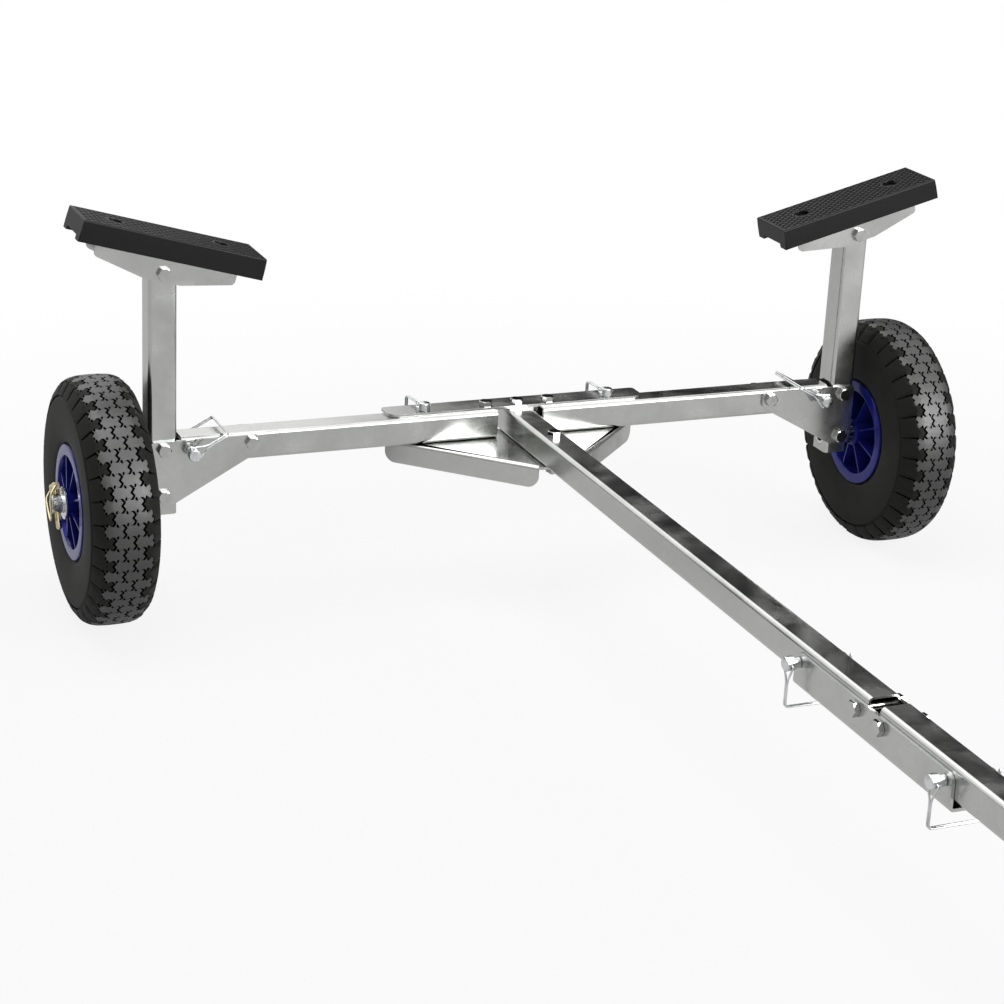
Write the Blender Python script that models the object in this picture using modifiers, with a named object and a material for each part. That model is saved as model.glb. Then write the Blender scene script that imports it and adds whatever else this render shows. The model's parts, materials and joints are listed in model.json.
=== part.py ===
"""Folding trolley for an inflatable boat: a T-shaped frame of square steel tube on two tyred wheels.

Millimetres are used below and turned into metres when a mesh is made. The beam frame has X along the
crossbeam, Y away from the drawbar's free end and Z up. Its origin is on the floor under the beam's middle.
"""

import math

import bmesh
import bpy
from mathutils import Euler, Matrix, Vector

MM = 0.001
GAP = 0.3

# Square tube of the whole frame
TUBE = 30.0
WALL = 2.0
TUBE_CORNER = 3.0
HALF = TUBE / 2
BEAM_Z = 180.5
BEAM_TOP = BEAM_Z + HALF
BEAM_UNDER = BEAM_Z - HALF
SHEET = 3.0

# Bolts: shank radius, spanner size, head height
BOLT_R = 4.0
BOLT_FLATS = 13.0
BOLT_HEAD = 5.3
NUT = 6.5
ROUND_SIDES = 10
SHANK_SIDES = 8
PIVOT_SIDES = 12

# Crossbeam, in two halves that swing forward on the centre plates
BEAM_PIVOT_X = 36.5
BEAM_INNER_X = 27.0
BEAM_OUTER_X = 380.5
BEAM_LOCK_X = 108.0
TOP_PLATE_X = 150.0
TOP_PLATE_FRONT = -8.5
TOP_PLATE_REAR = 21.5
GUSSET_X = 149.5
GUSSET_REAR = 15.0
GUSSET_NOSE_X = 17.0
GUSSET_NOSE_Y = -116.0
GUSSET_LIP = 23.0
GUSSET_LIP_INSET = 4.0

# Leg, which swings on the beam's outer end
LEG_PIVOT = (305.5, 185.0)
LEG_LOCK = (371.5, 181.5)
UPRIGHT_X = 400.0
UPRIGHT_FOOT = 112.5
UPRIGHT_BOLT_Z = (184.5, 134.0)
SIDE_PLATE = (
    (414.0, 193.3, 3.0), (296.0, 193.3, 6.0), (296.0, 178.0, 6.0),
    (309.0, 168.6, 4.0), (388.0, 125.0, 4.0), (414.0, 125.0, 4.0),
)

NOTCH_FLARE = 1.8

# Wheel and axle
WHEEL_R = 130.0
WHEEL_X = 462.5
AXLE_R = 10.0
AXLE_SIDES = 14
AXLE_BORE = 7.0
COLLAR_R = 12.0
HUB_HALF = 37.0
HUB_R = 15.0
WASHER_R = 17.0
WASHER = 2.5
RIM_HALF = 33.5
RIM_R = 60.5
RIM_WELL_R = 47.0
SEAT_R = 53.0
TYRE_HALF = 36.0
TYRE_WALL = 8.0
TREAD_HALF = 10.0
TYRE_BEAD = 16.5
RIB_PAIRS = 4
RIB = 2.4
RIB_INSET = 5.0
RIM_SIDES = 24
TYRE_SIDES = 28
LINCH_R = 3.0
LINCH_TILT = 28.0
LINCH_NECK_R = 5.0
LINCH_BAR_R = 4.0
LINCH_BAR_HALF = 9.5
LINCH_INSET = 5.5
LINCH_HINGE = 17.0
LINCH_TAIL = 27.0
LINCH_WIRE_R = 1.4
AXLE_STUB = 14.5
AXLE_END_X = WHEEL_X + HUB_HALF + AXLE_STUB
LINCH_X = AXLE_END_X - LINCH_INSET

# Rubber pad and its tilting bracket
PAD_BOLT_Z = 371.8
PAD_TILT = 15.0
PAD_LENGTH = 196.0
PAD_WIDTH = 66.0
PAD_TOP = 39.4
PAD_SKIRT = 16.6
BRACKET_WEB = 20.7
BRACKET_HALF = 75.0
PAD_SCREW = 57.0

# Drawbar: two sections, a folding channel between them, and the handle
REAR_START = 15.0
REAR_END = -790.0
FRONT_START = -809.0
FRONT_END = -1420.0
FOLD_Z = 181.0
FOLD_BOLT_Y = (-777.0, -816.0)
FOLD_PIN_Y = (-680.0, -914.0)
FOLD_NECK = 6.0
CHANNEL_Y = (-672.0, -925.0)
CHANNEL_TOP = 189.5
CHANNEL_FLOOR = 160.5
DRAWBAR_BOLT_Y = (0.0, -105.0)
HANDLE_R = 12.5
HANDLE_HALF = 150.0
GRIP_R = 16.0
GRIP_FLANGE_R = 19.0
GRIP_LENGTH = 110.0
STAND_Y = -1290.0
STAND_BOLT_Z = 178.0
STAND_WIDTH = 28.0

# Lock pins with their square wire clips
PIN_R = 4.0
PIN_HEAD_R = 6.6
PIN_HEAD = 9.0
PIN_NECK = 9.0
PIN_NECK_R = 5.2
PIN_TAIL = 6.0
WIRE_R = 1.5
CLIP_REACH = 41.0
CLIP_TILT = 28.0
CLIP_PAST_TAIL = 3.5

# The bounding box is centred on the origin in Y
SHIFT_Y = -(FRONT_END - GRIP_FLANGE_R + WHEEL_R) / 2

ALONG_X = Euler((math.pi / 2, 0, math.pi / 2))
ALONG_Y = Euler((math.pi / 2, 0, 0))
ALONG_Z = Euler((0, 0, 0))

COLOURS = {
    "zinc": ((0.56, 0.57, 0.56, 1), 0.34, 0.9),
    "bright_zinc": ((0.72, 0.73, 0.74, 1), 0.25, 1.0),
    "yellow_zinc": ((0.72, 0.5, 0.16, 1), 0.3, 1.0),
    "rubber": ((0.025, 0.025, 0.024, 1), 0.75, 0.0),
    "tyre": ((0.045, 0.044, 0.04, 1), 0.8, 0.0),
    "blue_plastic": ((0.01, 0.016, 0.16, 1), 0.25, 0.0),
}


def fresh_collection(name):
    made = bpy.data.collections.new(name)
    bpy.context.scene.collection.children.link(made)
    return made


for old in list(bpy.data.objects):
    bpy.data.objects.remove(old)
TROLLEY = fresh_collection("boat_trolley")
CUTTERS = fresh_collection("cutters")


def empty(name, location, parent=None):
    made = bpy.data.objects.new(name, None)
    made.location = Vector(location) * MM
    TROLLEY.objects.link(made)
    if parent:
        made.parent = parent
        made.matrix_parent_inverse = Matrix.Translation(-Vector(parent["at"]) * MM)
    made["at"] = location
    return made


def object_from(name, mesh, location=(0, 0, 0), rotation=ALONG_Z, collection=None):
    made = bpy.data.objects.new(name, mesh)
    made.location = Vector(location) * MM
    made.rotation_euler = rotation
    (collection or TROLLEY).objects.link(made)
    return made


def finish(made, body, colour, smooth=math.radians(35)):
    """Colours a piece, shades it and hangs it on its body's empty."""
    rgba, roughness, metallic = COLOURS[colour]
    name = made.name + "_" + colour
    material = bpy.data.materials.new(name)
    material.use_nodes = True
    shader = material.node_tree.nodes["Principled BSDF"]
    shader.inputs["Base Color"].default_value = rgba
    shader.inputs["Roughness"].default_value = roughness
    shader.inputs["Metallic"].default_value = metallic
    made.data.materials.clear()
    made.data.materials.append(material)
    made.data.shade_smooth()
    made.data.set_sharp_from_angle(angle=smooth)
    made.parent = body
    made.matrix_parent_inverse = Matrix.Translation(-Vector(body["at"]) * MM)
    return made


def mesh_from(bm, name):
    mesh = bpy.data.meshes.new(name)
    bmesh.ops.recalc_face_normals(bm, faces=bm.faces)
    if bm.calc_volume(signed=True) < 0:
        bmesh.ops.reverse_faces(bm, faces=bm.faces)
    bm.to_mesh(mesh)
    bm.free()
    return mesh


def settled(made, name):
    """The mesh that an object's modifiers give, welded, with the object and its modifiers gone."""
    graph = bpy.context.evaluated_depsgraph_get()
    mesh = bpy.data.meshes.new_from_object(made.evaluated_get(graph))
    bpy.data.objects.remove(made)
    bm = bmesh.new()
    bm.from_mesh(mesh)
    bmesh.ops.remove_doubles(bm, verts=bm.verts, dist=0.000005)
    return mesh_from(bm, name)


def rounded(corners, steps=2):
    """Closed outline through corners given as (x, y, radius)."""
    out = []
    for i, (x, y, radius) in enumerate(corners):
        corner = Vector((x, y))
        if radius == 0:
            out.append((x, y))
            continue
        before = (Vector(corners[i - 1][:2]) - corner).normalized()
        after = (Vector(corners[(i + 1) % len(corners)][:2]) - corner).normalized()
        half = before.angle(after) / 2
        centre = corner + (before + after).normalized() * (radius / math.sin(half))
        start = corner + before * (radius / math.tan(half)) - centre
        end = corner + after * (radius / math.tan(half)) - centre
        turn = math.atan2(start.x * end.y - start.y * end.x, start.dot(end))
        for k in range(steps + 1):
            angle = turn * k / steps
            out.append((
                centre.x + start.x * math.cos(angle) - start.y * math.sin(angle),
                centre.y + start.x * math.sin(angle) + start.y * math.cos(angle),
            ))
    return out


def rectangle(x0, y0, x1, y1, radius=0.0, steps=2):
    return rounded([(x0, y0, radius), (x1, y0, radius), (x1, y1, radius), (x0, y1, radius)], steps)


def circle(x, y, radius, sides=ROUND_SIDES, phase=0.5):
    turns = [2 * math.pi * (k + phase) / sides for k in range(sides)]
    return [(x + radius * math.cos(t), y + radius * math.sin(t)) for t in turns]


def extruded(name, outlines, depth, location=(0, 0, 0), rotation=ALONG_Z, collection=None):
    """A flat outline with any holes, thickened by depth about its own plane."""
    curve = bpy.data.curves.new(name, "CURVE")
    curve.dimensions = "2D"
    curve.fill_mode = "BOTH"
    curve.extrude = depth / 2 * MM
    for outline in outlines:
        spline = curve.splines.new("POLY")
        spline.points.add(len(outline) - 1)
        spline.use_cyclic_u = True
        for point, (x, y) in zip(spline.points, outline):
            point.co = (x * MM, y * MM, 0, 1)
    flat = bpy.data.objects.new(name, curve)
    CUTTERS.objects.link(flat)
    return object_from(name, settled(flat, name), location, rotation, collection)


def wire(name, points, radius, resolution=1, cyclic=False):
    """A round wire or tube through points, with filled ends."""
    curve = bpy.data.curves.new(name, "CURVE")
    curve.dimensions = "3D"
    curve.bevel_depth = radius * MM
    curve.bevel_resolution = resolution
    curve.use_fill_caps = not cyclic
    spline = curve.splines.new("POLY")
    spline.points.add(len(points) - 1)
    spline.use_cyclic_u = cyclic
    for point, co in zip(spline.points, points):
        point.co = (co[0] * MM, co[1] * MM, co[2] * MM, 1)
    line = bpy.data.objects.new(name, curve)
    CUTTERS.objects.link(line)
    return settled(line, name)


def turned(name, profile, steps):
    """A closed profile of (radius, height) turned about Z."""
    bm = bmesh.new()
    rim = [bm.verts.new((radius * MM, 0, height * MM)) for radius, height in profile]
    for a, b in zip(rim, rim[1:] + rim[:1]):
        if a.co.x > 0 or b.co.x > 0:
            bm.edges.new((a, b))
    mesh = bpy.data.meshes.new(name)
    bm.to_mesh(mesh)
    bm.free()
    made = object_from(name, mesh, collection=CUTTERS)
    screw = made.modifiers.new("turn", "SCREW")
    screw.steps = steps
    screw.render_steps = steps
    screw.use_merge_vertices = True
    screw.merge_threshold = 0.00001
    return settled(made, name)


def prism(name, sides, radius, low, high, top_radius=None):
    """An upright prism or taper between two heights."""
    bm = bmesh.new()
    end = radius if top_radius is None else top_radius
    turn = Matrix.Rotation(math.pi / sides, 4, "Z")
    bmesh.ops.create_cone(
        bm, cap_ends=True, segments=sides, radius1=radius * MM, radius2=end * MM, depth=(high - low) * MM,
        matrix=Matrix.Translation((0, 0, (low + high) / 2 * MM)) @ turn,
    )
    return mesh_from(bm, name)


def combine(made, mesh, operation, location=(0, 0, 0), rotation=ALONG_Z):
    """Joins, cuts or intersects a piece with a mesh placed in the beam frame."""
    tool = object_from(made.name + "_tool", mesh, location, rotation, CUTTERS)
    tool.hide_render = True
    tool.display_type = "WIRE"
    tool.parent = ROOT
    change = made.modifiers.new(operation.lower(), "BOOLEAN")
    change.operation = operation
    change.solver = "EXACT"
    change.object = tool
    return tool


def united(name, meshes):
    """One mesh from overlapping meshes that share an origin."""
    first = object_from(name, meshes[0], collection=CUTTERS)
    tools = [combine(first, mesh, "UNION") for mesh in meshes[1:]]
    mesh = settled(first, name)
    for tool in tools:
        bpy.data.objects.remove(tool)
    return mesh


def drill(made, radius, location, rotation, reach, sides=ROUND_SIDES):
    combine(made, prism("drill", sides, radius, -reach, reach), "DIFFERENCE", location, rotation)


def square_tube(name, start, end, rotation, centre):
    """Square tube along its own Z, from start to end, placed at centre."""
    outer = rectangle(-HALF, -HALF, HALF, HALF, TUBE_CORNER, 2)
    inner = rectangle(WALL - HALF, WALL - HALF, HALF - WALL, HALF - WALL, TUBE_CORNER - WALL, 1)
    made = extruded(name, [outer, inner], abs(end - start), centre, rotation)
    return made


def hex_radius(flats):
    return flats / 2 / math.cos(math.pi / 6)


def bolt(name, grip, radius=BOLT_R, flats=BOLT_FLATS, head=BOLT_HEAD, nut=NUT):
    """A hexagon bolt with its nut, head up, its grip centred on the origin."""
    top = grip / 2 + GAP
    tail = top + nut
    return united(name, [
        prism(name, SHANK_SIDES, radius, -tail - 2.5, top + 1),
        prism(name, 6, hex_radius(flats), top, top + head),
        prism(name, 6, hex_radius(flats), -tail, -top),
    ])


def lock_pin(name, low, high, neck_height):
    """A pin along its own Z with its head up; low and high are the faces that it passes through."""
    neck = high + neck_height
    tail = low + neck_height - PIN_NECK - PIN_TAIL
    profile = [
        (0.0, neck + PIN_HEAD), (PIN_HEAD_R * 0.6, neck + PIN_HEAD), (PIN_HEAD_R, neck + PIN_HEAD - 2.0),
        (PIN_HEAD_R, neck), (PIN_NECK_R, neck), (PIN_NECK_R, high + GAP), (PIN_R, high + GAP),
        (PIN_R, tail + 1.2), (PIN_R - 1.2, tail), (0.0, tail),
    ]
    if neck_height <= GAP:
        profile[4:6] = []
    return turned(name, profile, 10)


def clip(name, low, high, neck_height):
    """The square wire of a lock pin: from the head's sides to a V, out, along the pin, and back past its tail.

    It lies in its own XZ plane about the pin's Z, with X the way that the loop stands out.
    """
    head = high + neck_height + PIN_HEAD / 2
    tail = low + neck_height - PIN_NECK - PIN_TAIL - WIRE_R - CLIP_PAST_TAIL
    side = PIN_HEAD_R + GAP
    pair = WIRE_R + 0.5
    reach = CLIP_REACH
    half = [
        (0.0, side, head), (0.0, side + 2.2, head), (reach * 0.4, pair, head), (reach - 3.0, pair, head),
        (reach, pair, head - 3.0), (reach, pair, tail + 3.0), (reach - 3.0, pair, tail), (1.0, pair, tail),
    ]
    middle = [(-3.0, 0.0, tail - 0.6)]
    other = [(x, -y, z) for x, y, z in reversed(half)]
    return wire(name, half + middle + other, WIRE_R, 0)


def placed(name, mesh, body, colour, location, rotation=ALONG_Z, smooth=math.radians(35)):
    return finish(object_from(name, mesh, location, rotation), body, colour, smooth)


def head_towards(direction):
    """Turns a piece's own Z to a direction."""
    return Vector(direction).to_track_quat("Z", "Y").to_euler()


ROOT = empty("trolley", (0, 0, 0))
FRONT = (0, -1, 0)
PLATE_Y = HALF + GAP + SHEET / 2
CLAMP = 2 * (HALF + GAP + SHEET)
CLAMPED = (-CLAMP / 2, CLAMP / 2)

# Centre: top plate, gusset and the drawbar's rear section
TOP_PLATE_Z = BEAM_TOP + GAP + SHEET / 2
GUSSET_Z = BEAM_UNDER - GAP - SHEET / 2
BOLT_HOLE = BOLT_R + GAP
PIN_HOLE = PIN_R + GAP


def centre_plates():
    pivots = [(-BEAM_PIVOT_X, 0.0), (BEAM_PIVOT_X, 0.0)]
    locks = [(-BEAM_LOCK_X, 0.0), (BEAM_LOCK_X, 0.0)]
    # The pivots' holes are turned a little, because holes with their corners in one line don't fill cleanly
    holes = [circle(x, y, BOLT_HOLE, PIVOT_SIDES, 0.25) for x, y in pivots]
    holes += [circle(x, y, PIN_HOLE) for x, y in locks]
    top_outline = rounded([
        (-TOP_PLATE_X, TOP_PLATE_FRONT, 13.0), (TOP_PLATE_X, TOP_PLATE_FRONT, 13.0),
        (TOP_PLATE_X, TOP_PLATE_REAR, 4.0), (-TOP_PLATE_X, TOP_PLATE_REAR, 4.0),
    ], 3)
    top_holes = holes + [circle(0, DRAWBAR_BOLT_Y[0], BOLT_HOLE, SHANK_SIDES)]
    top = extruded("centre_top_plate", [top_outline] + top_holes, SHEET, (0, 0, TOP_PLATE_Z))
    finish(top, ROOT, "zinc")

    half = [(GUSSET_NOSE_X, GUSSET_NOSE_Y, 4.0), (GUSSET_X, GUSSET_REAR, 1.5)]
    outline = rounded(half + [(-x, y, r) for x, y, r in reversed(half)])
    gusset_holes = holes + [circle(0, y, BOLT_HOLE, SHANK_SIDES) for y in DRAWBAR_BOLT_Y]
    gusset = extruded("gusset_plate", [outline] + gusset_holes, SHEET, (0, 0, GUSSET_Z))
    side = Vector((GUSSET_X - GUSSET_NOSE_X, GUSSET_REAR - GUSSET_NOSE_Y, 0))
    end = side.length / 2 - GUSSET_LIP_INSET
    lip = rounded([(-end, -GUSSET_LIP, 12.0), (end, -GUSSET_LIP, 12.0), (end, 0, 0), (-end, 0, 0)])
    inward = Vector((-side.y, side.x, 0)).normalized() * (SHEET / 2 + 0.02)
    middle = Vector((GUSSET_X + GUSSET_NOSE_X, GUSSET_REAR + GUSSET_NOSE_Y, 0)) / 2 + inward
    for sign in (-1, 1):
        turn = Euler((math.pi / 2, 0, sign * math.atan2(side.y, side.x)))
        flange = extruded("lip", [lip], SHEET, collection=CUTTERS)
        mesh = flange.data
        bpy.data.objects.remove(flange)
        combine(gusset, mesh, "UNION", (sign * middle.x, middle.y, GUSSET_Z), turn)
    finish(gusset, ROOT, "zinc")


def drawbar_rear():
    made = square_tube(
        "drawbar_rear", REAR_START, REAR_END, ALONG_Y, (0, (REAR_START + REAR_END) / 2, BEAM_Z)
    )
    for y in DRAWBAR_BOLT_Y:
        drill(made, BOLT_HOLE, (0, y, BEAM_Z), ALONG_Z, TUBE, SHANK_SIDES)
    fold_end(made, FOLD_BOLT_Y[0], REAR_END, FOLD_PIN_Y[0])
    finish(made, ROOT, "zinc")


def fold_end(tube, bolt_y, end_y, pin_y):
    """A section's end in the channel: a bolt hole, a lower corner rounded about it, and the lock slot."""
    ahead = math.copysign(1.0, end_y - bolt_y)
    drill(tube, BOLT_HOLE, (0, bolt_y, FOLD_Z), ALONG_X, TUBE)
    radius = FOLD_Z - CHANNEL_FLOOR - 0.8
    far = bolt_y + ahead * 2 * TUBE
    corner = [(bolt_y, FOLD_Z - TUBE), (far, FOLD_Z - TUBE), (far, FOLD_Z)]
    arc = [math.pi / 2 * k / 8 for k in range(9)]
    corner += [(bolt_y + ahead * radius * math.cos(t), FOLD_Z - radius * math.sin(t)) for t in arc]
    shape = extruded("corner", [corner], TUBE * 2, collection=CUTTERS)
    mesh = shape.data
    bpy.data.objects.remove(shape)
    combine(tube, mesh, "DIFFERENCE", (0, 0, 0), ALONG_X)
    inner = PIN_HOLE + 3.0
    low, high = sorted((pin_y - ahead * PIN_HOLE, pin_y + ahead * inner))
    slot = rounded([
        (low, BEAM_UNDER - 5, 0), (high, BEAM_UNDER - 5, 0),
        (high, FOLD_Z + PIN_HOLE, PIN_R - 0.3), (low, FOLD_Z + PIN_HOLE, PIN_R - 0.3),
    ], 2)
    shape = extruded("slot", [slot], TUBE * 2, collection=CUTTERS)
    mesh = shape.data
    bpy.data.objects.remove(shape)
    combine(tube, mesh, "DIFFERENCE", (0, 0, 0), ALONG_X)


def beam(side, sign, body):
    middle = sign * (BEAM_INNER_X + BEAM_OUTER_X) / 2
    made = square_tube("beam_" + side, BEAM_INNER_X, BEAM_OUTER_X, ALONG_X, (middle, 0, BEAM_Z))
    drill(made, BOLT_HOLE, (sign * BEAM_PIVOT_X, 0, BEAM_Z), ALONG_Z, TUBE)
    low, high = sorted((sign * (BEAM_LOCK_X + PIN_HOLE), sign * (BEAM_LOCK_X - PIN_HOLE - 3.0)))
    slot = rounded([
        (low, -PIN_HOLE, PIN_R - 0.3), (high, -PIN_HOLE, PIN_R - 0.3), (high, TUBE, 0), (low, TUBE, 0),
    ], 2)
    shape = extruded("slot", [slot], TUBE * 2, collection=CUTTERS)
    mesh = shape.data
    bpy.data.objects.remove(shape)
    combine(made, mesh, "DIFFERENCE", (0, 0, BEAM_Z))
    drill(made, BOLT_HOLE, (sign * LEG_PIVOT[0], 0, LEG_PIVOT[1]), ALONG_Y, TUBE)
    drill(made, PIN_HOLE, (sign * LEG_LOCK[0], 0, LEG_LOCK[1]), ALONG_Y, TUBE)
    finish(made, body, "zinc")


# Leg: side plates, upright, bolts, axle
UPRIGHT_TOP = PAD_BOLT_Z + 13.8


def side_plates(side, sign, body):
    outline = rounded([(sign * x, z, r) for x, z, r in SIDE_PLATE])
    bolts = [LEG_PIVOT] + [(UPRIGHT_X, z) for z in UPRIGHT_BOLT_Z]
    holes = [circle(sign * x, z, BOLT_HOLE, SHANK_SIDES) for x, z in bolts]
    pin_x, pin_z = LEG_LOCK
    above = max(z for x, z, r in SIDE_PLATE) + SHEET
    near, far = sign * (pin_x - PIN_HOLE), sign * (pin_x + PIN_HOLE)
    notch = rounded([
        (far, pin_z - PIN_HOLE, PIN_R), (near, pin_z - PIN_HOLE, PIN_R),
        (near - sign * NOTCH_FLARE, above, 0), (far, above, 0),
    ])
    for face, y in (("front", -PLATE_Y), ("rear", PLATE_Y)):
        made = extruded(f"side_plate_{face}_{side}", [outline] + holes, SHEET, (0, y, 0), ALONG_Y)
        shape = extruded("notch", [notch], SHEET * 3, collection=CUTTERS)
        mesh = shape.data
        bpy.data.objects.remove(shape)
        combine(made, mesh, "DIFFERENCE", (0, y, 0), ALONG_Y)
        finish(made, body, "zinc")


def upright(side, sign, body):
    middle = (UPRIGHT_FOOT + UPRIGHT_TOP) / 2
    made = square_tube("upright_" + side, UPRIGHT_FOOT, UPRIGHT_TOP, ALONG_Z, (sign * UPRIGHT_X, 0, middle))
    for z in (*UPRIGHT_BOLT_Z, PAD_BOLT_Z):
        drill(made, BOLT_HOLE, (sign * UPRIGHT_X, 0, z), ALONG_Y, TUBE, SHANK_SIDES)
    drill(made, AXLE_R + GAP, (sign * UPRIGHT_X, 0, WHEEL_R), ALONG_X, TUBE, AXLE_SIDES)
    finish(made, body, "zinc")


def axle(side, sign, body):
    inner = UPRIGHT_X - HALF
    collar = (UPRIGHT_X + HALF + GAP, WHEEL_X - HUB_HALF - GAP)
    profile = [
        (AXLE_BORE, AXLE_END_X), (AXLE_R - 1.0, AXLE_END_X), (AXLE_R, AXLE_END_X - 1.0), (AXLE_R, collar[1]),
        (COLLAR_R, collar[1]), (COLLAR_R, collar[0]), (AXLE_R, collar[0]), (AXLE_R, inner), (AXLE_BORE, inner),
    ]
    made = object_from("axle_" + side, turned("axle", profile, AXLE_SIDES), (0, 0, WHEEL_R), outward(sign))
    drill(made, BOLT_HOLE, (sign * UPRIGHT_X, 0, UPRIGHT_BOLT_Z[1]), ALONG_Y, TUBE, SHANK_SIDES)
    drill(made, LINCH_R + GAP, (sign * LINCH_X, 0, WHEEL_R), linch_turn(), TUBE, SHANK_SIDES)
    finish(made, body, "bright_zinc")
    face = WHEEL_X + HUB_HALF + GAP
    bore = AXLE_R + GAP
    ring = [(WASHER_R, face + WASHER), (WASHER_R, face), (bore, face), (bore, face + WASHER)]
    washer = turned("hub_washer", ring, AXLE_SIDES)
    placed("hub_washer_" + side, washer, body, "bright_zinc", (0, 0, WHEEL_R), outward(sign))


def outward(sign):
    """Turns a piece's own Z to the outer side."""
    return Euler((0, sign * math.pi / 2, 0))


def wheel(side, sign, body, rim_mesh, tyre_mesh):
    at = (sign * WHEEL_X, 0, WHEEL_R)
    placed("rim_" + side, rim_mesh, body, "blue_plastic", at, outward(sign))
    placed("tyre_" + side, tyre_mesh, body, "tyre", at, outward(sign))


def rim_shape():
    web = 3.0
    profile = [
        (AXLE_R - 3.0, HUB_HALF), (HUB_R, HUB_HALF), (HUB_R + 1.5, web), (RIM_WELL_R - 5.0, web),
        (SEAT_R - 3.5, RIM_HALF), (RIM_R, RIM_HALF), (RIM_R, RIM_HALF - 3.0), (SEAT_R, RIM_HALF - 3.5),
        (RIM_WELL_R, 10.0),
    ]
    lower = [(r, -h) for r, h in reversed(profile)]
    dish = turned("rim", profile + lower, RIM_SIDES)
    parts = [dish]
    end_x, end_z = SEAT_R - 4.5, RIM_HALF - RIB_INSET
    hub_x, hub_z = HUB_R - 2.0, HUB_HALF - 4.0
    upper = [(-end_x, end_z), (-hub_x, hub_z), (hub_x, hub_z), (end_x, end_z)]
    rib = upper + [(x, -z) for x, z in reversed(upper)]
    for k in range(RIB_PAIRS):
        flat = extruded("rib", [rib], RIB, collection=CUTTERS)
        mesh = flat.data
        bpy.data.objects.remove(flat)
        mesh.transform(Matrix.Rotation(math.pi * (k + 0.5) / RIB_PAIRS, 4, "Z") @ ALONG_Y.to_matrix().to_4x4())
        parts.append(mesh)
    whole = object_from("rim", united("rim", parts), collection=CUTTERS)
    tool = combine(whole, prism("bore", AXLE_SIDES, AXLE_R + 0.4, -HUB_HALF - 5, HUB_HALF + 5), "DIFFERENCE")
    mesh = settled(whole, "rim")
    bpy.data.objects.remove(tool)
    return mesh


def tyre_shape():
    seat = SEAT_R + 0.8
    crown = [
        (WHEEL_R, TREAD_HALF), (WHEEL_R - 1.6, TYRE_HALF - 15.0), (WHEEL_R - 6.5, TYRE_HALF - 7.0),
        (WHEEL_R - 17.0, TYRE_HALF - 1.5), (WHEEL_R - 32.0, TYRE_HALF), (WHEEL_R - 50.0, TYRE_HALF - 1.2),
        (RIM_R + 5.0, TYRE_HALF - 2.8), (RIM_R + 1.0, RIM_HALF - 3.8), (seat, RIM_HALF - 4.2),
        (seat, TYRE_BEAD), (RIM_R + TYRE_WALL, TYRE_HALF - TYRE_WALL),
        (WHEEL_R - 3 * TYRE_WALL, TYRE_HALF - TYRE_WALL), (WHEEL_R - 1.5 * TYRE_WALL, TREAD_HALF),
    ]
    below = [(r, -h) for r, h in reversed(crown)]
    return turned("tyre", crown + below, TYRE_SIDES)


def linch_turn():
    """Tilts the linch pin about the axle, its head back."""
    return Euler((-math.radians(LINCH_TILT), 0, 0))


def linch_head():
    """How far the middle of a linch pin's head lies back from the axle and above it."""
    return linch_turn().to_matrix() @ Vector((0, 0, LINCH_HINGE))


def linch(side, sign, pin_body, ring_body):
    """A linch pin through the axle's end, with its spring ring hinged on the ends of the head's crossbar."""
    seat = AXLE_R + GAP
    profile = [
        (0.0, LINCH_HINGE), (LINCH_NECK_R, LINCH_HINGE), (LINCH_NECK_R, seat), (LINCH_R, seat),
        (LINCH_R, 2.0 - LINCH_TAIL), (LINCH_R - 1.5, -LINCH_TAIL), (0.0, -LINCH_TAIL),
    ]
    bar = prism("bar", ROUND_SIDES, LINCH_BAR_R, -LINCH_BAR_HALF, LINCH_BAR_HALF)
    bar.transform(Matrix.Translation((0, 0, LINCH_HINGE * MM)) @ ALONG_Y.to_matrix().to_4x4())
    at = (sign * LINCH_X, 0, WHEEL_R)
    mesh = united("linch_pin", [turned("linch_pin", profile, SHANK_SIDES), bar])
    placed("linch_pin_" + side, mesh, pin_body, "yellow_zinc", at, linch_turn())
    clear = AXLE_END_X - LINCH_X + LINCH_WIRE_R + 1.0
    points = [(0.0, LINCH_BAR_HALF + GAP, LINCH_HINGE), (0.0, LINCH_BAR_HALF + 2.2, LINCH_HINGE)]
    points += [(2.5, LINCH_BAR_HALF + 4.0, LINCH_HINGE - 1.5), (clear, LINCH_BAR_HALF + 5.5, 8.0)]
    points += [(clear, LINCH_BAR_HALF + 4.5, -6.0), (clear, 8.5, -17.0), (clear, 0.0, 1.5 - LINCH_TAIL)]
    points += [(x, -y, z) for x, y, z in reversed(points[:-1])]
    points = [(sign * x, y, z) for x, y, z in points]
    mesh = wire("linch_ring", points, LINCH_WIRE_R, 0)
    placed("linch_ring_" + side, mesh, ring_body, "yellow_zinc", at, linch_turn())


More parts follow.
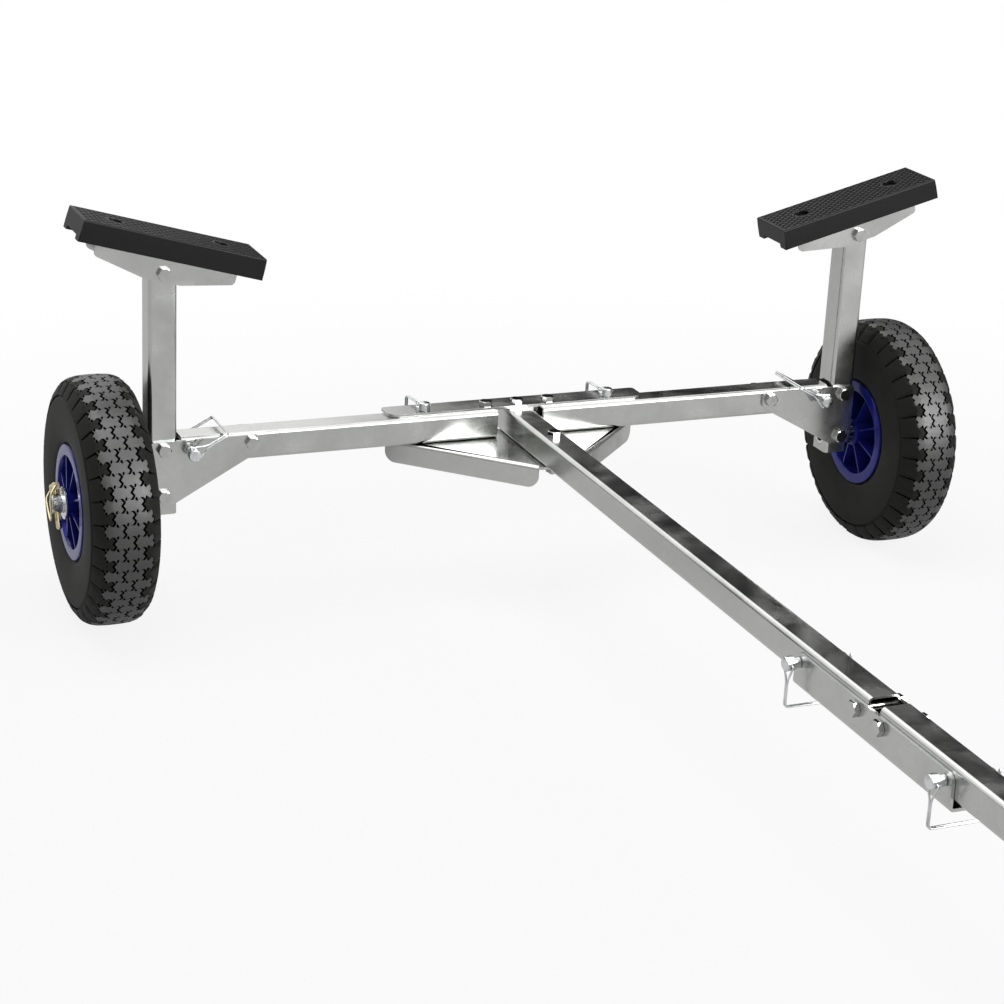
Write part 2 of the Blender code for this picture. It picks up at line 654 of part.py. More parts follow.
def pad(side, sign, leg, body):
    """The bracket and the rubber pad, tilted so that their inner ends are low."""
    tilt = Matrix.Rotation(math.radians(-sign * PAD_TILT), 4, "Y")
    at = (sign * UPRIGHT_X, 0, PAD_BOLT_Z)
    along_x = tilt @ ALONG_X.to_matrix().to_4x4()
    along_y = tilt @ ALONG_Y.to_matrix().to_4x4()
    ear = HALF + GAP
    outer = ear + SHEET
    section = rounded([
        (-outer, -12.0, 0), (-outer, BRACKET_WEB, 3.0), (outer, BRACKET_WEB, 3.0), (outer, -12.0, 0),
        (ear, -12.0, 0), (ear, BRACKET_WEB - SHEET, 0), (-ear, BRACKET_WEB - SHEET, 0), (-ear, -12.0, 0),
    ])
    bracket = extruded("pad_bracket_" + side, [section], 2 * BRACKET_HALF, at, along_x.to_euler())
    profile = rounded([
        (-BRACKET_HALF, 30.0, 0), (-BRACKET_HALF, 3.5, 4.0), (-20.0, -8.5, 12.0), (20.0, -8.5, 12.0),
        (BRACKET_HALF, 3.5, 4.0), (BRACKET_HALF, 30.0, 0),
    ])
    shape = extruded("ears", [profile], 60.0, collection=CUTTERS)
    mesh = shape.data
    bpy.data.objects.remove(shape)
    combine(bracket, mesh, "INTERSECT", at, along_y.to_euler())
    drill(bracket, BOLT_HOLE, at, along_y.to_euler(), TUBE)
    for u in (-PAD_SCREW, PAD_SCREW):
        combine(bracket, pad_screw(), "UNION", Vector(at) + tilt.to_3x3() @ Vector((u, 0, 0)), tilt.to_euler())
    finish(bracket, body, "zinc")

    width, length = PAD_WIDTH / 2, PAD_LENGTH / 2
    recess = outer + GAP
    deck = BRACKET_WEB + GAP
    cross = rounded([
        (-width, PAD_SKIRT, 1.5), (-width, PAD_TOP, 2.5), (width, PAD_TOP, 2.5), (width, PAD_SKIRT, 1.5),
        (recess, PAD_SKIRT, 0), (recess, deck, 0), (-recess, deck, 0), (-recess, PAD_SKIRT, 0),
    ], 2)
    made = extruded("pad_" + side, [cross], 2 * length, at, along_x.to_euler())
    for u in (-PAD_SCREW, PAD_SCREW):
        spot = Vector(at) + tilt.to_3x3() @ Vector((u, 0, 0))
        combine(made, countersink(), "DIFFERENCE", spot, tilt.to_euler())
    finish(made, body, "rubber")
    grip = bolt("pad_bolt", CLAMP)
    placed("pad_bolt_" + side, grip, leg, "bright_zinc", at, head_towards(FRONT))


def pad_screw():
    """A countersunk screw whose shank stands on the bracket's web."""
    profile = [
        (0.0, PAD_TOP - 5.0), (7.0, PAD_TOP - 5.0), (3.5, PAD_TOP - 9.0), (3.5, BRACKET_WEB - SHEET - 4.0),
        (0.0, BRACKET_WEB - SHEET - 4.0),
    ]
    return turned("pad_screw", profile, ROUND_SIDES)


def countersink():
    under = BRACKET_WEB - 2.0
    profile = [
        (0.0, PAD_TOP + 1.0), (8.2, PAD_TOP + 1.0), (7.6, PAD_TOP - 5.0), (4.0, PAD_TOP - 9.2), (4.0, under),
        (0.0, under),
    ]
    return turned("countersink", profile, 16)


def lock(name, where, at, axis, out, faces, neck, parent):
    """A lock pin along an axis through two faces, with its wire clip standing out one way."""
    head = Vector(axis).normalized()
    low, high = faces
    pin_body = empty(f"{name}_body_{where}", at, parent)
    clip_body = empty(f"{name}_swing_{where}", Vector(at) + head * (high + neck + PIN_HEAD / 2), pin_body)
    aside = Vector(out).normalized()
    turn = Matrix((aside, head.cross(aside), head)).transposed().to_euler()
    placed(f"{name}_pin_{where}", lock_pin("lock_pin", low, high, neck), pin_body, "bright_zinc", at, turn)
    placed(f"{name}_clip_{where}", clip("clip", low, high, neck), clip_body, "bright_zinc", at, turn)


def fold_channel(body):
    inner = HALF + GAP
    outer = inner + SHEET
    floor = CHANNEL_FLOOR - SHEET
    top = CHANNEL_TOP
    section = rounded([
        (-outer, top, 0), (-outer, floor, 4.0), (outer, floor, 4.0), (outer, top, 0),
        (inner, top, 0), (inner, CHANNEL_FLOOR, 1.2), (-inner, CHANNEL_FLOOR, 1.2), (-inner, top, 0),
    ])
    middle = sum(CHANNEL_Y) / 2
    made = extruded("fold_channel", [section], CHANNEL_Y[0] - CHANNEL_Y[1], (0, middle, 0), ALONG_Y)
    side = rounded([
        (CHANNEL_Y[1], floor - 5, 0), (CHANNEL_Y[0], floor - 5, 0), (CHANNEL_Y[0], CHANNEL_TOP, 9.0),
        (CHANNEL_Y[1], CHANNEL_TOP, 9.0),
    ])
    shape = extruded("side", [side], 60.0, collection=CUTTERS)
    mesh = shape.data
    bpy.data.objects.remove(shape)
    combine(made, mesh, "INTERSECT", (0, 0, 0), ALONG_X)
    for y in FOLD_BOLT_Y:
        drill(made, BOLT_HOLE, (0, y, FOLD_Z), ALONG_X, TUBE, SHANK_SIDES)
    for y in FOLD_PIN_Y:
        drill(made, PIN_HOLE, (0, y, FOLD_Z), ALONG_X, TUBE)
    finish(made, body, "zinc")
    grip = bolt("fold_bolt", CLAMP)
    for where, y in zip(("rear", "front"), FOLD_BOLT_Y):
        placed("fold_bolt_" + where, grip, body, "bright_zinc", (0, y, FOLD_Z), head_towards((-1, 0, 0)))


def handle(body):
    """The drawbar's front section with the handle bar welded across its end, and two grips."""
    stop = FRONT_END + HANDLE_R * 0.6
    made = square_tube("drawbar_front", FRONT_START, stop, ALONG_Y, (0, (FRONT_START + stop) / 2, BEAM_Z))
    fold_end(made, FOLD_BOLT_Y[1], FRONT_START, FOLD_PIN_Y[1])
    drill(made, BOLT_HOLE, (0, STAND_Y, STAND_BOLT_Z), ALONG_X, TUBE, SHANK_SIDES)
    bore = HANDLE_R - WALL
    bar = [(bore, HANDLE_HALF), (HANDLE_R, HANDLE_HALF), (HANDLE_R, -HANDLE_HALF), (bore, -HANDLE_HALF)]
    combine(made, turned("bar", bar, 16), "UNION", (0, FRONT_END, BEAM_Z), ALONG_X)
    finish(made, body, "zinc")
    end = HANDLE_HALF + 3.0
    start = end - GRIP_LENGTH
    bore, seat = HANDLE_R + GAP, HANDLE_HALF + GAP
    sleeve = [
        (0.0, end), (GRIP_R - 3.0, end), (GRIP_R, end - 2.5), (GRIP_R, start + 6.0),
        (GRIP_FLANGE_R, start + 4.0), (GRIP_FLANGE_R, start), (bore, start), (bore, seat), (0.0, seat),
    ]
    mesh = turned("grip", sleeve, 16)
    for side, sign in (("left", -1), ("right", 1)):
        placed("grip_" + side, mesh, body, "rubber", (0, FRONT_END, BEAM_Z), outward(sign))


def stand(leg, body):
    """A strap bent to a U that straddles the drawbar and stands on its flat foot."""
    inner = HALF + GAP
    outer = inner + SHEET
    top = STAND_BOLT_Z + 30.0
    section = rounded([
        (-outer, top, 0), (-outer, 0.0, 6.0), (outer, 0.0, 6.0), (outer, top, 0),
        (inner, top, 0), (inner, SHEET, 3.0), (-inner, SHEET, 3.0), (-inner, top, 0),
    ])
    made = extruded("prop_stand", [section], 2 * STAND_WIDTH, (0, STAND_Y, 0), ALONG_Y)
    half = STAND_WIDTH / 2
    near, far, crown = STAND_Y - half, STAND_Y + half, STAND_BOLT_Z + half - 1
    side = rounded([(near, -5.0, 0), (far, -5.0, 0), (far, crown, half - 0.1), (near, crown, half - 0.1)], 5)
    shape = extruded("side", [side], 60.0, collection=CUTTERS)
    mesh = shape.data
    bpy.data.objects.remove(shape)
    combine(made, mesh, "INTERSECT", (0, 0, 0), ALONG_X)
    drill(made, BOLT_HOLE, (0, STAND_Y, STAND_BOLT_Z), ALONG_X, TUBE)
    finish(made, body, "zinc")
    at = (0, STAND_Y, STAND_BOLT_Z)
    placed("stand_bolt", bolt("stand_bolt", CLAMP), leg, "bright_zinc", at, head_towards((-1, 0, 0)))


def build():
    centre_plates()
    drawbar_rear()
    long_grip = bolt("centre_bolt", CLAMP)
    placed("drawbar_bolt_centre", long_grip, ROOT, "bright_zinc", (0, DRAWBAR_BOLT_Y[0], BEAM_Z))
    short = bolt("front_bolt", TUBE + GAP + SHEET)
    middle = BEAM_Z - (GAP + SHEET) / 2
    placed("drawbar_bolt_front", short, ROOT, "bright_zinc", (0, DRAWBAR_BOLT_Y[1], middle))
    rim_mesh, tyre_mesh = rim_shape(), tyre_shape()
    side_grip = bolt("side_bolt", CLAMP)
    for side, sign in (("left", -1), ("right", 1)):
        pivot = (sign * BEAM_PIVOT_X, 0, BEAM_Z)
        placed("beam_pivot_bolt_" + side, long_grip, ROOT, "bright_zinc", pivot)
        arm = empty("beam_arm_" + side, pivot, ROOT)
        beam(side, sign, arm)
        at = (sign * BEAM_LOCK_X, 0, BEAM_Z)
        lock("beam_lock", side, at, (0, 0, 1), (-0.12, 0.993, 0), CLAMPED, GAP, ROOT)

        leg = empty("leg_" + side, (sign * LEG_PIVOT[0], 0, LEG_PIVOT[1]), arm)
        side_plates(side, sign, leg)
        upright(side, sign, leg)
        axle(side, sign, leg)
        at = (sign * LEG_PIVOT[0], 0, LEG_PIVOT[1])
        placed("leg_pivot_bolt_" + side, side_grip, leg, "bright_zinc", at, head_towards(FRONT))
        for where, z in zip(("upper", "lower"), UPRIGHT_BOLT_Z):
            at = (sign * UPRIGHT_X, 0, z)
            placed(f"upright_bolt_{where}_{side}", side_grip, leg, "bright_zinc", at, head_towards(FRONT))
        at = (sign * LEG_LOCK[0], 0, LEG_LOCK[1])
        tilt = math.radians(CLIP_TILT)
        out = (-sign * math.cos(tilt), 0, math.sin(tilt))
        lock("leg_lock", side, at, FRONT, out, CLAMPED, PIN_NECK, arm)

        hub = empty("wheel_" + side, (sign * WHEEL_X, 0, WHEEL_R), leg)
        wheel(side, sign, hub, rim_mesh, tyre_mesh)
        pin = empty("linch_" + side, (sign * LINCH_X, 0, WHEEL_R), leg)
        swing = empty("linch_swing_" + side, Vector((sign * LINCH_X, 0, WHEEL_R)) + linch_head(), pin)
        linch(side, sign, pin, swing)
        tilt = empty("pad_tilt_" + side, (sign * UPRIGHT_X, 0, PAD_BOLT_Z), leg)
        pad(side, sign, leg, tilt)
    joint = empty("fold_joint", (0, FOLD_BOLT_Y[0], FOLD_Z), ROOT)
    fold_channel(joint)
    for where, y in zip(("rear", "front"), FOLD_PIN_Y):
        at = (0, y, FOLD_Z)
        lock("fold", where, at, (-1, 0, 0), (0, 0, -1), CLAMPED, FOLD_NECK, joint)
    front = empty("front_section", (0, FOLD_BOLT_Y[1], FOLD_Z), joint)
    handle(front)
    prop = empty("prop", (0, STAND_Y, STAND_BOLT_Z), front)
    stand(front, prop)
    ROOT.location = (0, SHIFT_Y * MM, 0)


build()
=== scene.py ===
"""Looks of a folding trolley for an inflatable boat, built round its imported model.

Shapes are made in millimetres in the beam frame: X along the crossbeam, Y away from the handle, Z up and
its origin on the floor under the beam's middle. They become metres when placed.
"""

import json
import math

import bmesh
import bpy
from mathutils import Matrix, Vector


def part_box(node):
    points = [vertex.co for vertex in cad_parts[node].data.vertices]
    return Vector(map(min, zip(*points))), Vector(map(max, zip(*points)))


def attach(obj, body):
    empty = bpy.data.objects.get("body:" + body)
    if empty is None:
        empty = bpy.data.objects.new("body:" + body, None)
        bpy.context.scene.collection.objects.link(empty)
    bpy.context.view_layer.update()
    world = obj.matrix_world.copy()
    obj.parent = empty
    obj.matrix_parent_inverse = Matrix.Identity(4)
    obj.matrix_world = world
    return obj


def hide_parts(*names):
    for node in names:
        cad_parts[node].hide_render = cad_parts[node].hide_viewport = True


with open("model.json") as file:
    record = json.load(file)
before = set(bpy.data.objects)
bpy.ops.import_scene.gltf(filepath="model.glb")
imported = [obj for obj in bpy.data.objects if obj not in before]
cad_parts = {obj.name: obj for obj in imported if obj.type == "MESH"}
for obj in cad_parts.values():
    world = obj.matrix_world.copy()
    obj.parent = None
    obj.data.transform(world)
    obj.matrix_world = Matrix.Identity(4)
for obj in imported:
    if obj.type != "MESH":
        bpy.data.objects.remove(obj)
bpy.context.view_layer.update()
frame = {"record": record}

MM = 0.001
GAP = 0.3

# Sizes that several pieces share
TUBE = 30.0
HALF = TUBE / 2
WALL = 2.0
TUBE_CORNER = 4.5
SHEET = 3.0
BOLT_R = 4.0
BOLT_FLATS = 13.0
BOLT_HEAD = 5.3
NUT = 6.5
CLAMP = 2 * (HALF + GAP + SHEET)  # over two plates with a tube between them
PIN_R = 4.0
BOLT_HOLE = BOLT_R + GAP
PIN_HOLE = PIN_R + GAP
EAR = HALF + GAP
WHEEL_R = 130.0
AXLE_R = 10.0
PAD_TILT = math.radians(15)

SIDES = (("left", -1), ("right", 1))
X, Y, Z = Vector((1, 0, 0)), Vector((0, 1, 0)), Vector((0, 0, 1))


def node_box(node):
    """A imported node's lowest and highest corners in the beam frame, in millimetres."""
    low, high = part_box(node)
    shift = Vector((0, ORIGIN_Y, 0))
    return low / MM - shift, high / MM - shift


wheel_low, wheel_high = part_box("tyre_left")
ORIGIN_Y = (wheel_low.y + wheel_high.y) / 2 / MM
TO_WORLD = Matrix.Translation((0, ORIGIN_Y * MM, 0)) @ Matrix.Scale(MM, 4)


def mid(node):
    low, high = node_box(node)
    return (low + high) / 2


WHEEL_X = mid("tyre_right").x
UPRIGHT_X = mid("upright_right").x
BEAM_Z = mid("beam_right").z


# Shape helpers


def rounded(corners, steps=8):
    """Closed outline through corners given as (x, y, radius)."""
    out = []
    for i, (x, y, radius) in enumerate(corners):
        corner = Vector((x, y))
        if radius == 0:
            out.append((x, y))
            continue
        before = (Vector(corners[i - 1][:2]) - corner).normalized()
        after = (Vector(corners[(i + 1) % len(corners)][:2]) - corner).normalized()
        half = before.angle(after) / 2
        centre = corner + (before + after).normalized() * (radius / math.sin(half))
        start = corner + before * (radius / math.tan(half)) - centre
        end = corner + after * (radius / math.tan(half)) - centre
        turn = math.atan2(start.x * end.y - start.y * end.x, start.dot(end))
        for k in range(steps + 1):
            angle = turn * k / steps
            out.append((
                centre.x + start.x * math.cos(angle) - start.y * math.sin(angle),
                centre.y + start.x * math.sin(angle) + start.y * math.cos(angle),
            ))
    return out


def rectangle(x0, y0, x1, y1, radius, steps=8, far=None):
    """A rectangle with rounded corners; far is the radius of the two at y1, if it differs."""
    far = radius if far is None else far
    return rounded([(x0, y0, radius), (x1, y0, radius), (x1, y1, far), (x0, y1, far)], steps)


def circle(x, y, radius, sides=40):
    turns = [2 * math.pi * k / sides for k in range(sides)]
    return [(x + radius * math.cos(t), y + radius * math.sin(t)) for t in turns]


def basis(right, up, out):
    """A turn that carries X, Y and Z to the three directions given."""
    return Matrix((right, up, out)).transposed().to_4x4()


ALONG_X = basis(Y, Z, X)
ALONG_Y = basis(X, Z, -Y)
ALONG_Z = Matrix.Identity(4)


def outward(sign):
    """Turns a piece's own Z to the outer side, with its own Y kept."""
    return Matrix.Rotation(sign * math.pi / 2, 4, "Y")


def towards(direction):
    return Vector(direction).to_track_quat("Z", "Y").to_matrix().to_4x4()


def mesh_from(bm):
    mesh = bpy.data.meshes.new("shape")
    bmesh.ops.recalc_face_normals(bm, faces=bm.faces)
    bm.to_mesh(mesh)
    bm.free()
    return mesh


def evaluated(thing):
    """The mesh that an object's modifiers give; the object goes."""
    bpy.context.scene.collection.objects.link(thing)
    graph = bpy.context.evaluated_depsgraph_get()
    mesh = bpy.data.meshes.new_from_object(thing.evaluated_get(graph))
    bpy.data.objects.remove(thing)
    return mesh


def welded(mesh, distance=0.001):
    bm = bmesh.new()
    bm.from_mesh(mesh)
    bmesh.ops.remove_doubles(bm, verts=bm.verts, dist=distance)
    return mesh_from(bm)


def extruded(outlines, depth):
    """A flat outline with any holes, thickened by depth about its own plane."""
    curve = bpy.data.curves.new("outline", "CURVE")
    curve.dimensions = "2D"
    curve.fill_mode = "BOTH"
    curve.extrude = depth / 2
    for outline in outlines:
        spline = curve.splines.new("POLY")
        spline.points.add(len(outline) - 1)
        spline.use_cyclic_u = True
        for point, (x, y) in zip(spline.points, outline):
            point.co = (x, y, 0, 1)
    return welded(evaluated(bpy.data.objects.new("outline", curve)))


def turned(profile, steps=64):
    """A profile of (radius, height) turned about Z; it starts and ends on the axis or closes on itself."""
    bm = bmesh.new()
    rings = []
    for radius, height in profile:
        if radius < 1e-6:
            rings.append([bm.verts.new((0, 0, height))])
            continue
        turns = [2 * math.pi * k / steps for k in range(steps)]
        rings.append([bm.verts.new((radius * math.cos(t), radius * math.sin(t), height)) for t in turns])
    closed = len(rings[0]) > 1
    for a, b in zip(rings, rings[1:] + ([rings[0]] if closed else [])):
        for k in range(steps):
            n = (k + 1) % steps
            corners = [a[k % len(a)], a[n % len(a)], b[n % len(b)], b[k % len(b)]]
            face = list(dict.fromkeys(corners))
            if len(face) > 2:
                bm.faces.new(face)
    return mesh_from(bm)


def eased(points, radius, steps=5):
    """Points along a line with its corners rounded by short curves."""
    points = [Vector(p) for p in points]
    count = len(points)
    out = []
    for i, point in enumerate(points):
        if i in (0, count - 1):
            out.append(point)
            continue
        back, ahead = points[i - 1] - point, points[i + 1] - point
        reach = min(radius, back.length * 0.48, ahead.length * 0.48)
        start, end = point + back.normalized() * reach, point + ahead.normalized() * reach
        for k in range(steps + 1):
            t = k / steps
            out.append(start * (1 - t) ** 2 + point * (2 * t * (1 - t)) + end * t ** 2)
    return out


def wire(points, radius):
    """A round wire through points, with filled ends."""
    curve = bpy.data.curves.new("wire", "CURVE")
    curve.dimensions = "3D"
    curve.bevel_depth = radius
    curve.bevel_resolution = 3
    curve.use_fill_caps = True
    spline = curve.splines.new("POLY")
    spline.points.add(len(points) - 1)
    for point, co in zip(spline.points, points):
        point.co = (*co, 1)
    return welded(evaluated(bpy.data.objects.new("wire", curve)), 0.0005)


def moved(mesh, at=(0, 0, 0), turn=ALONG_Z):
    out = mesh.copy()
    out.transform(Matrix.Translation(at) @ turn)
    return out


def joined(meshes):
    """Several meshes as one, with no Boolean."""
    bm = bmesh.new()
    for mesh in meshes:
        bm.from_mesh(mesh)
    out = bpy.data.meshes.new("joined")
    bm.to_mesh(out)
    bm.free()
    return out


def combined(mesh, tool, operation):
    thing = bpy.data.objects.new("base", mesh)
    other = bpy.data.objects.new("tool", tool)
    bpy.context.scene.collection.objects.link(other)
    change = thing.modifiers.new("boolean", "BOOLEAN")
    change.operation = operation
    change.solver = "EXACT"
    change.object = other
    out = evaluated(thing)
    bpy.data.objects.remove(other)
    return out


def cut(mesh, tools):
    return combined(mesh, joined(tools), "DIFFERENCE")


def drill(radius, at, turn, reach):
    profile = [(0, -reach), (radius, -reach), (radius, reach), (0, reach)]
    return moved(turned(profile, 40), at, turn)


def slab(outline, depth, at=(0, 0, 0), turn=ALONG_Z):
    """One outline extruded, turned and moved."""
    return moved(extruded([outline], depth), at, turn)


def edged(mesh, width, angle=40):
    """The mesh with its sharp edges rounded."""
    thing = bpy.data.objects.new("edged", mesh)
    change = thing.modifiers.new("edge", "BEVEL")
    change.width = width
    change.segments = 2
    change.limit_method = "ANGLE"
    change.angle_limit = math.radians(angle)
    change.use_clamp_overlap = True
    return evaluated(thing)


def add(node, mesh, finish, at=(0, 0, 0), turn=ALONG_Z, sharp=38):
    """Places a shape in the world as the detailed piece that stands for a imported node."""
    material, slot = finish
    mesh = mesh.copy()
    mesh.name = node + "_detail"
    mesh.transform(TO_WORLD @ Matrix.Translation(at) @ turn)
    mesh.shade_smooth()
    mesh.set_sharp_from_angle(angle=math.radians(sharp))
    mesh.materials.append(material)
    piece = bpy.data.objects.new(node + "_detail", mesh)
    bpy.context.scene.collection.objects.link(piece)
    weighted = piece.modifiers.new("normals", "WEIGHTED_NORMAL")
    weighted.keep_sharp = True
    weighted.weight = 80
    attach(piece, BODY_OF[node])
    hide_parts(node)
    return piece


BODY_OF = {
    node: body for body, nodes in frame["record"]["behaviour"]["bodies"].items() for node in nodes
}


# Materials


class Nodes:
    """Short calls that make and link the nodes of a material or a world."""

    def __init__(self, owner):
        owner.use_nodes = True
        self.nodes = owner.node_tree.nodes
        self.links = owner.node_tree.links

    def node(self, kind, settings=None, **inputs):
        """A node with its settings and inputs; i0, i1 and i2 are inputs by number."""
        made = self.nodes.new(kind)
        for key, value in (settings or {}).items():
            setattr(made, key, value)
        for key, value in inputs.items():
            numbered = key[0] == "i" and key[1:].isdigit()
            socket = made.inputs[int(key[1:]) if numbered else key.replace("_", " ")]
            if isinstance(value, bpy.types.NodeSocket):
                self.links.new(value, socket)
            else:
                socket.default_value = value
        return made

    def math(self, operation, *values):
        inputs = {f"i{k}": value for k, value in enumerate(values)}
        return self.node("ShaderNodeMath", {"operation": operation}, **inputs).outputs[0]

    def step(self, value, low, high, **inputs):
        """Smooth share between low and high."""
        return self.node(
            "ShaderNodeMapRange", {"interpolation_type": "SMOOTHSTEP"},
            Value=value, From_Min=low, From_Max=high, **inputs,
        ).outputs[0]


class Surface(Nodes):
    """A Principled material with short calls for what drives it."""

    def __init__(self, name, colour, roughness, metallic=0.0, **sockets):
        self.material = bpy.data.materials.new(name)
        super().__init__(self.material)
        self.inputs = self.nodes["Principled BSDF"].inputs
        self.inputs["Base Color"].default_value = (*colour, 1)
        self.inputs["Roughness"].default_value = roughness
        self.inputs["Metallic"].default_value = metallic
        for key, value in sockets.items():
            self.inputs[key.replace("_", " ")].default_value = value
        self.place = self.node("ShaderNodeTexCoord").outputs["Object"]

    def noise(self, scale, detail=3.0, roughness=0.55, distortion=0.0):
        return self.node(
            "ShaderNodeTexNoise", Vector=self.place, Scale=scale, Detail=detail,
            Roughness=roughness, Distortion=distortion,
        ).outputs["Fac"]

    def colour(self, value, *stops):
        """Colour from a value, by stops of (position, colour)."""
        made = self.node("ShaderNodeValToRGB", Fac=value)
        elements = made.color_ramp.elements
        while len(elements) < len(stops):
            elements.new(0.5)
        for element, (position, colour) in zip(elements, stops):
            element.position = position
            element.color = (*colour, 1)
        self.links.new(made.outputs["Color"], self.inputs["Base Color"])

    def rough(self, value, low, high, to_low, to_high):
        """Roughness from a value between low and high."""
        made = self.node(
            "ShaderNodeMapRange", Value=value, From_Min=low, From_Max=high, To_Min=to_low, To_Max=to_high,
        )
        self.links.new(made.outputs[0], self.inputs["Roughness"])

    def bump(self, *layers):
        """Each layer is (height source, distance in metres, strength)."""
        normal = None
        for height, distance, strength in layers:
            made = self.node("ShaderNodeBump", Height=height, Distance=distance, Strength=strength)
            if normal:
                self.links.new(normal, made.inputs["Normal"])
            normal = made.outputs["Normal"]
        self.links.new(normal, self.inputs["Normal"])


def galvanised():
    """Zinc on rolled steel: grey and satin, with faint mottling and cloudy patches that are duller."""
    s = Surface("galvanised_steel", (0.5, 0.507, 0.492), 0.27, 1.0)
    cloud = s.noise(20, 4, 0.55, 0.6)
    grain = s.noise(140, 3, 0.6)
    tone = s.math("ADD", s.math("MULTIPLY", cloud, 0.7), s.math("MULTIPLY", grain, 0.3))
    s.colour(tone, (0.36, (0.465, 0.472, 0.458)), (0.5, (0.5, 0.507, 0.492)), (0.64, (0.53, 0.537, 0.522)))
    s.rough(cloud, 0.36, 0.64, 0.17, 0.28)
    s.bump((cloud, 0.0003, 0.1), (grain, 0.00002, 0.1))
    return s.material


def dull_zinc():
    """Zinc plated bolts and nuts, smoother than the tube and nearly as dark."""
    s = Surface("dull_zinc", (0.48, 0.485, 0.475), 0.1, 1.0)
    cloud = s.noise(90, 3)
    s.colour(cloud, (0.35, (0.43, 0.435, 0.425)), (0.65, (0.52, 0.525, 0.515)))
    s.rough(s.noise(420, 4, 0.6), 0.3, 0.7, 0.06, 0.13)
    s.bump((s.noise(300, 3), 0.00003, 0.2))
    return s.material


def bright_zinc():
    """Polished zinc plating of the pins, clips, axle and washers."""
    s = Surface("bright_zinc", (0.62, 0.63, 0.64), 0.2, 1.0)
    grain = s.noise(420, 4, 0.6)
    cloud = s.noise(90, 3)
    s.colour(cloud, (0.35, (0.5, 0.51, 0.52)), (0.6, (0.7, 0.71, 0.72)))
    s.rough(grain, 0.3, 0.7, 0.14, 0.28)
    s.bump((grain, 0.00008, 0.3))
    return s.material


def yellow_zinc():
    """Pale yellow passivated zinc of the linch pins."""
    s = Surface("yellow_zinc", (0.55, 0.42, 0.2), 0.24, 1.0)
    cloud = s.noise(120, 4, 0.6)
    s.colour(cloud, (0.35, (0.55, 0.45, 0.24)), (0.5, (0.64, 0.55, 0.34)), (0.68, (0.62, 0.57, 0.43)))
    s.rough(cloud, 0.3, 0.7, 0.18, 0.34)
    s.bump((s.noise(500), 0.00008, 0.3))
    return s.material


def navy_plastic():
    """Glossy moulded nylon with a faint orange peel."""
    s = Surface("navy_plastic", (0.012, 0.016, 0.18), 0.15, 0.0, Specular_Tint=(0.12, 0.12, 0.8, 1.0))
    cloud = s.noise(35, 3)
    s.colour(cloud, (0.35, (0.009, 0.012, 0.15)), (0.65, (0.014, 0.019, 0.2)))
    s.rough(s.noise(120, 3), 0.3, 0.7, 0.12, 0.2)
    s.bump((s.noise(260, 2), 0.0001, 0.35))
    return s.material


def rubber(name, dark, light, low, high, grain_scale, depth, shine):
    """Rubber between two colours and two roughnesses, with a fine grain of the given depth in metres."""
    s = Surface(name, dark, (low + high) / 2, Specular_IOR_Level=shine)
    cloud = s.noise(40, 4, 0.6)
    grain = s.noise(grain_scale, 4, 0.65)
    tone = s.math("ADD", s.math("MULTIPLY", cloud, 0.6), s.math("MULTIPLY", grain, 0.4))
    s.colour(tone, (0.35, dark), (0.65, light))
    s.rough(grain, 0.3, 0.7, high, low)
    s.bump((cloud, 0.0004, 0.12), (grain, depth, 0.4))
    return s.material


def grey(value):
    return (value, value, value)


# Finishes, each with the record's slot that it shows
STEEL = (galvanised(), "galvanised_steel")
BRIGHT = (bright_zinc(), "bright_zinc")
DULL = (dull_zinc(), "bright_zinc")
YELLOW = (yellow_zinc(), "yellow_zinc")
NAVY = (navy_plastic(), "rim_plastic")
TYRE = (
    rubber("tyre_rubber", (0.0125, 0.013, 0.0115), (0.018, 0.0185, 0.0165), 0.5, 0.65, 900, 0.0001, 0.1),
    "tyre_rubber",
)
TREAD_RUBBER = rubber(
    "tread_rubber", (0.011, 0.0115, 0.01), (0.016, 0.0165, 0.0145), 0.4, 0.5, 700, 0.0001, 0.9,
)
# Near-black, barely reflecting rubber that paints the shade into the grooves, on the block walls and the
# floor between them
GROOVE_SHADE_RUBBER = rubber("groove_painted_shade", grey(0.002), grey(0.004), 0.6, 0.7, 700, 0.0001, 0.05)
PAD = (rubber("pad_rubber", grey(0.004), grey(0.006), 0.3, 0.42, 1100, 0.00006, 0.2), "pad_rubber")
GRIP = (rubber("grip_rubber", grey(0.008), grey(0.012), 0.45, 0.58, 1300, 0.0001, 0.3), "grip_rubber")


# Fasteners


def hexagon(flats, low, high, chamfer_low, chamfer_high):
    """A hexagonal head or nut whose corners are turned off at the ends that are chamfered."""
    radius = flats / math.sqrt(3)
    prism = extruded([circle(0, 0, radius, 6)], high - low)
    prism.transform(Matrix.Translation((0, 0, (low + high) / 2)))
    drop = (radius - flats * 0.47) * 0.58
    profile = [(0, low - 1), (radius + 2, low - 1), (radius + 2, high + 1), (0, high + 1)]
    if chamfer_high:
        profile[2:] = [(radius + 0.2, high - drop), (flats * 0.47, high), (0, high)]
    if chamfer_low:
        profile[:2] = [(0, low), (flats * 0.47, low), (radius + 0.2, low + drop)]
    return combined(prism, turned(profile, 72), "INTERSECT")


def bolt(grip):
    """Head up, grip centred on the origin: head, shank, nut and the threads that stand past it."""
    top = grip / 2 + GAP
    tail = top + NUT
    end = tail + 2.5
    pitch, depth = 1.25, 0.4
    head = edged(hexagon(BOLT_FLATS, top, top + BOLT_HEAD, False, True), 0.25, 25)
    nut = edged(hexagon(BOLT_FLATS, -tail, -top, True, True), 0.25, 25)
    threads = []
    height = -end + 0.8
    while height < -top + 1:
        threads += [(BOLT_R - depth, height), (BOLT_R, height + pitch / 2)]
        height += pitch
    shank = [(0, -end), (BOLT_R - 1.2, -end)] + threads + [(BOLT_R, top + 1), (0, top + 1)]
    return joined([head, nut, turned(shank, 40)])


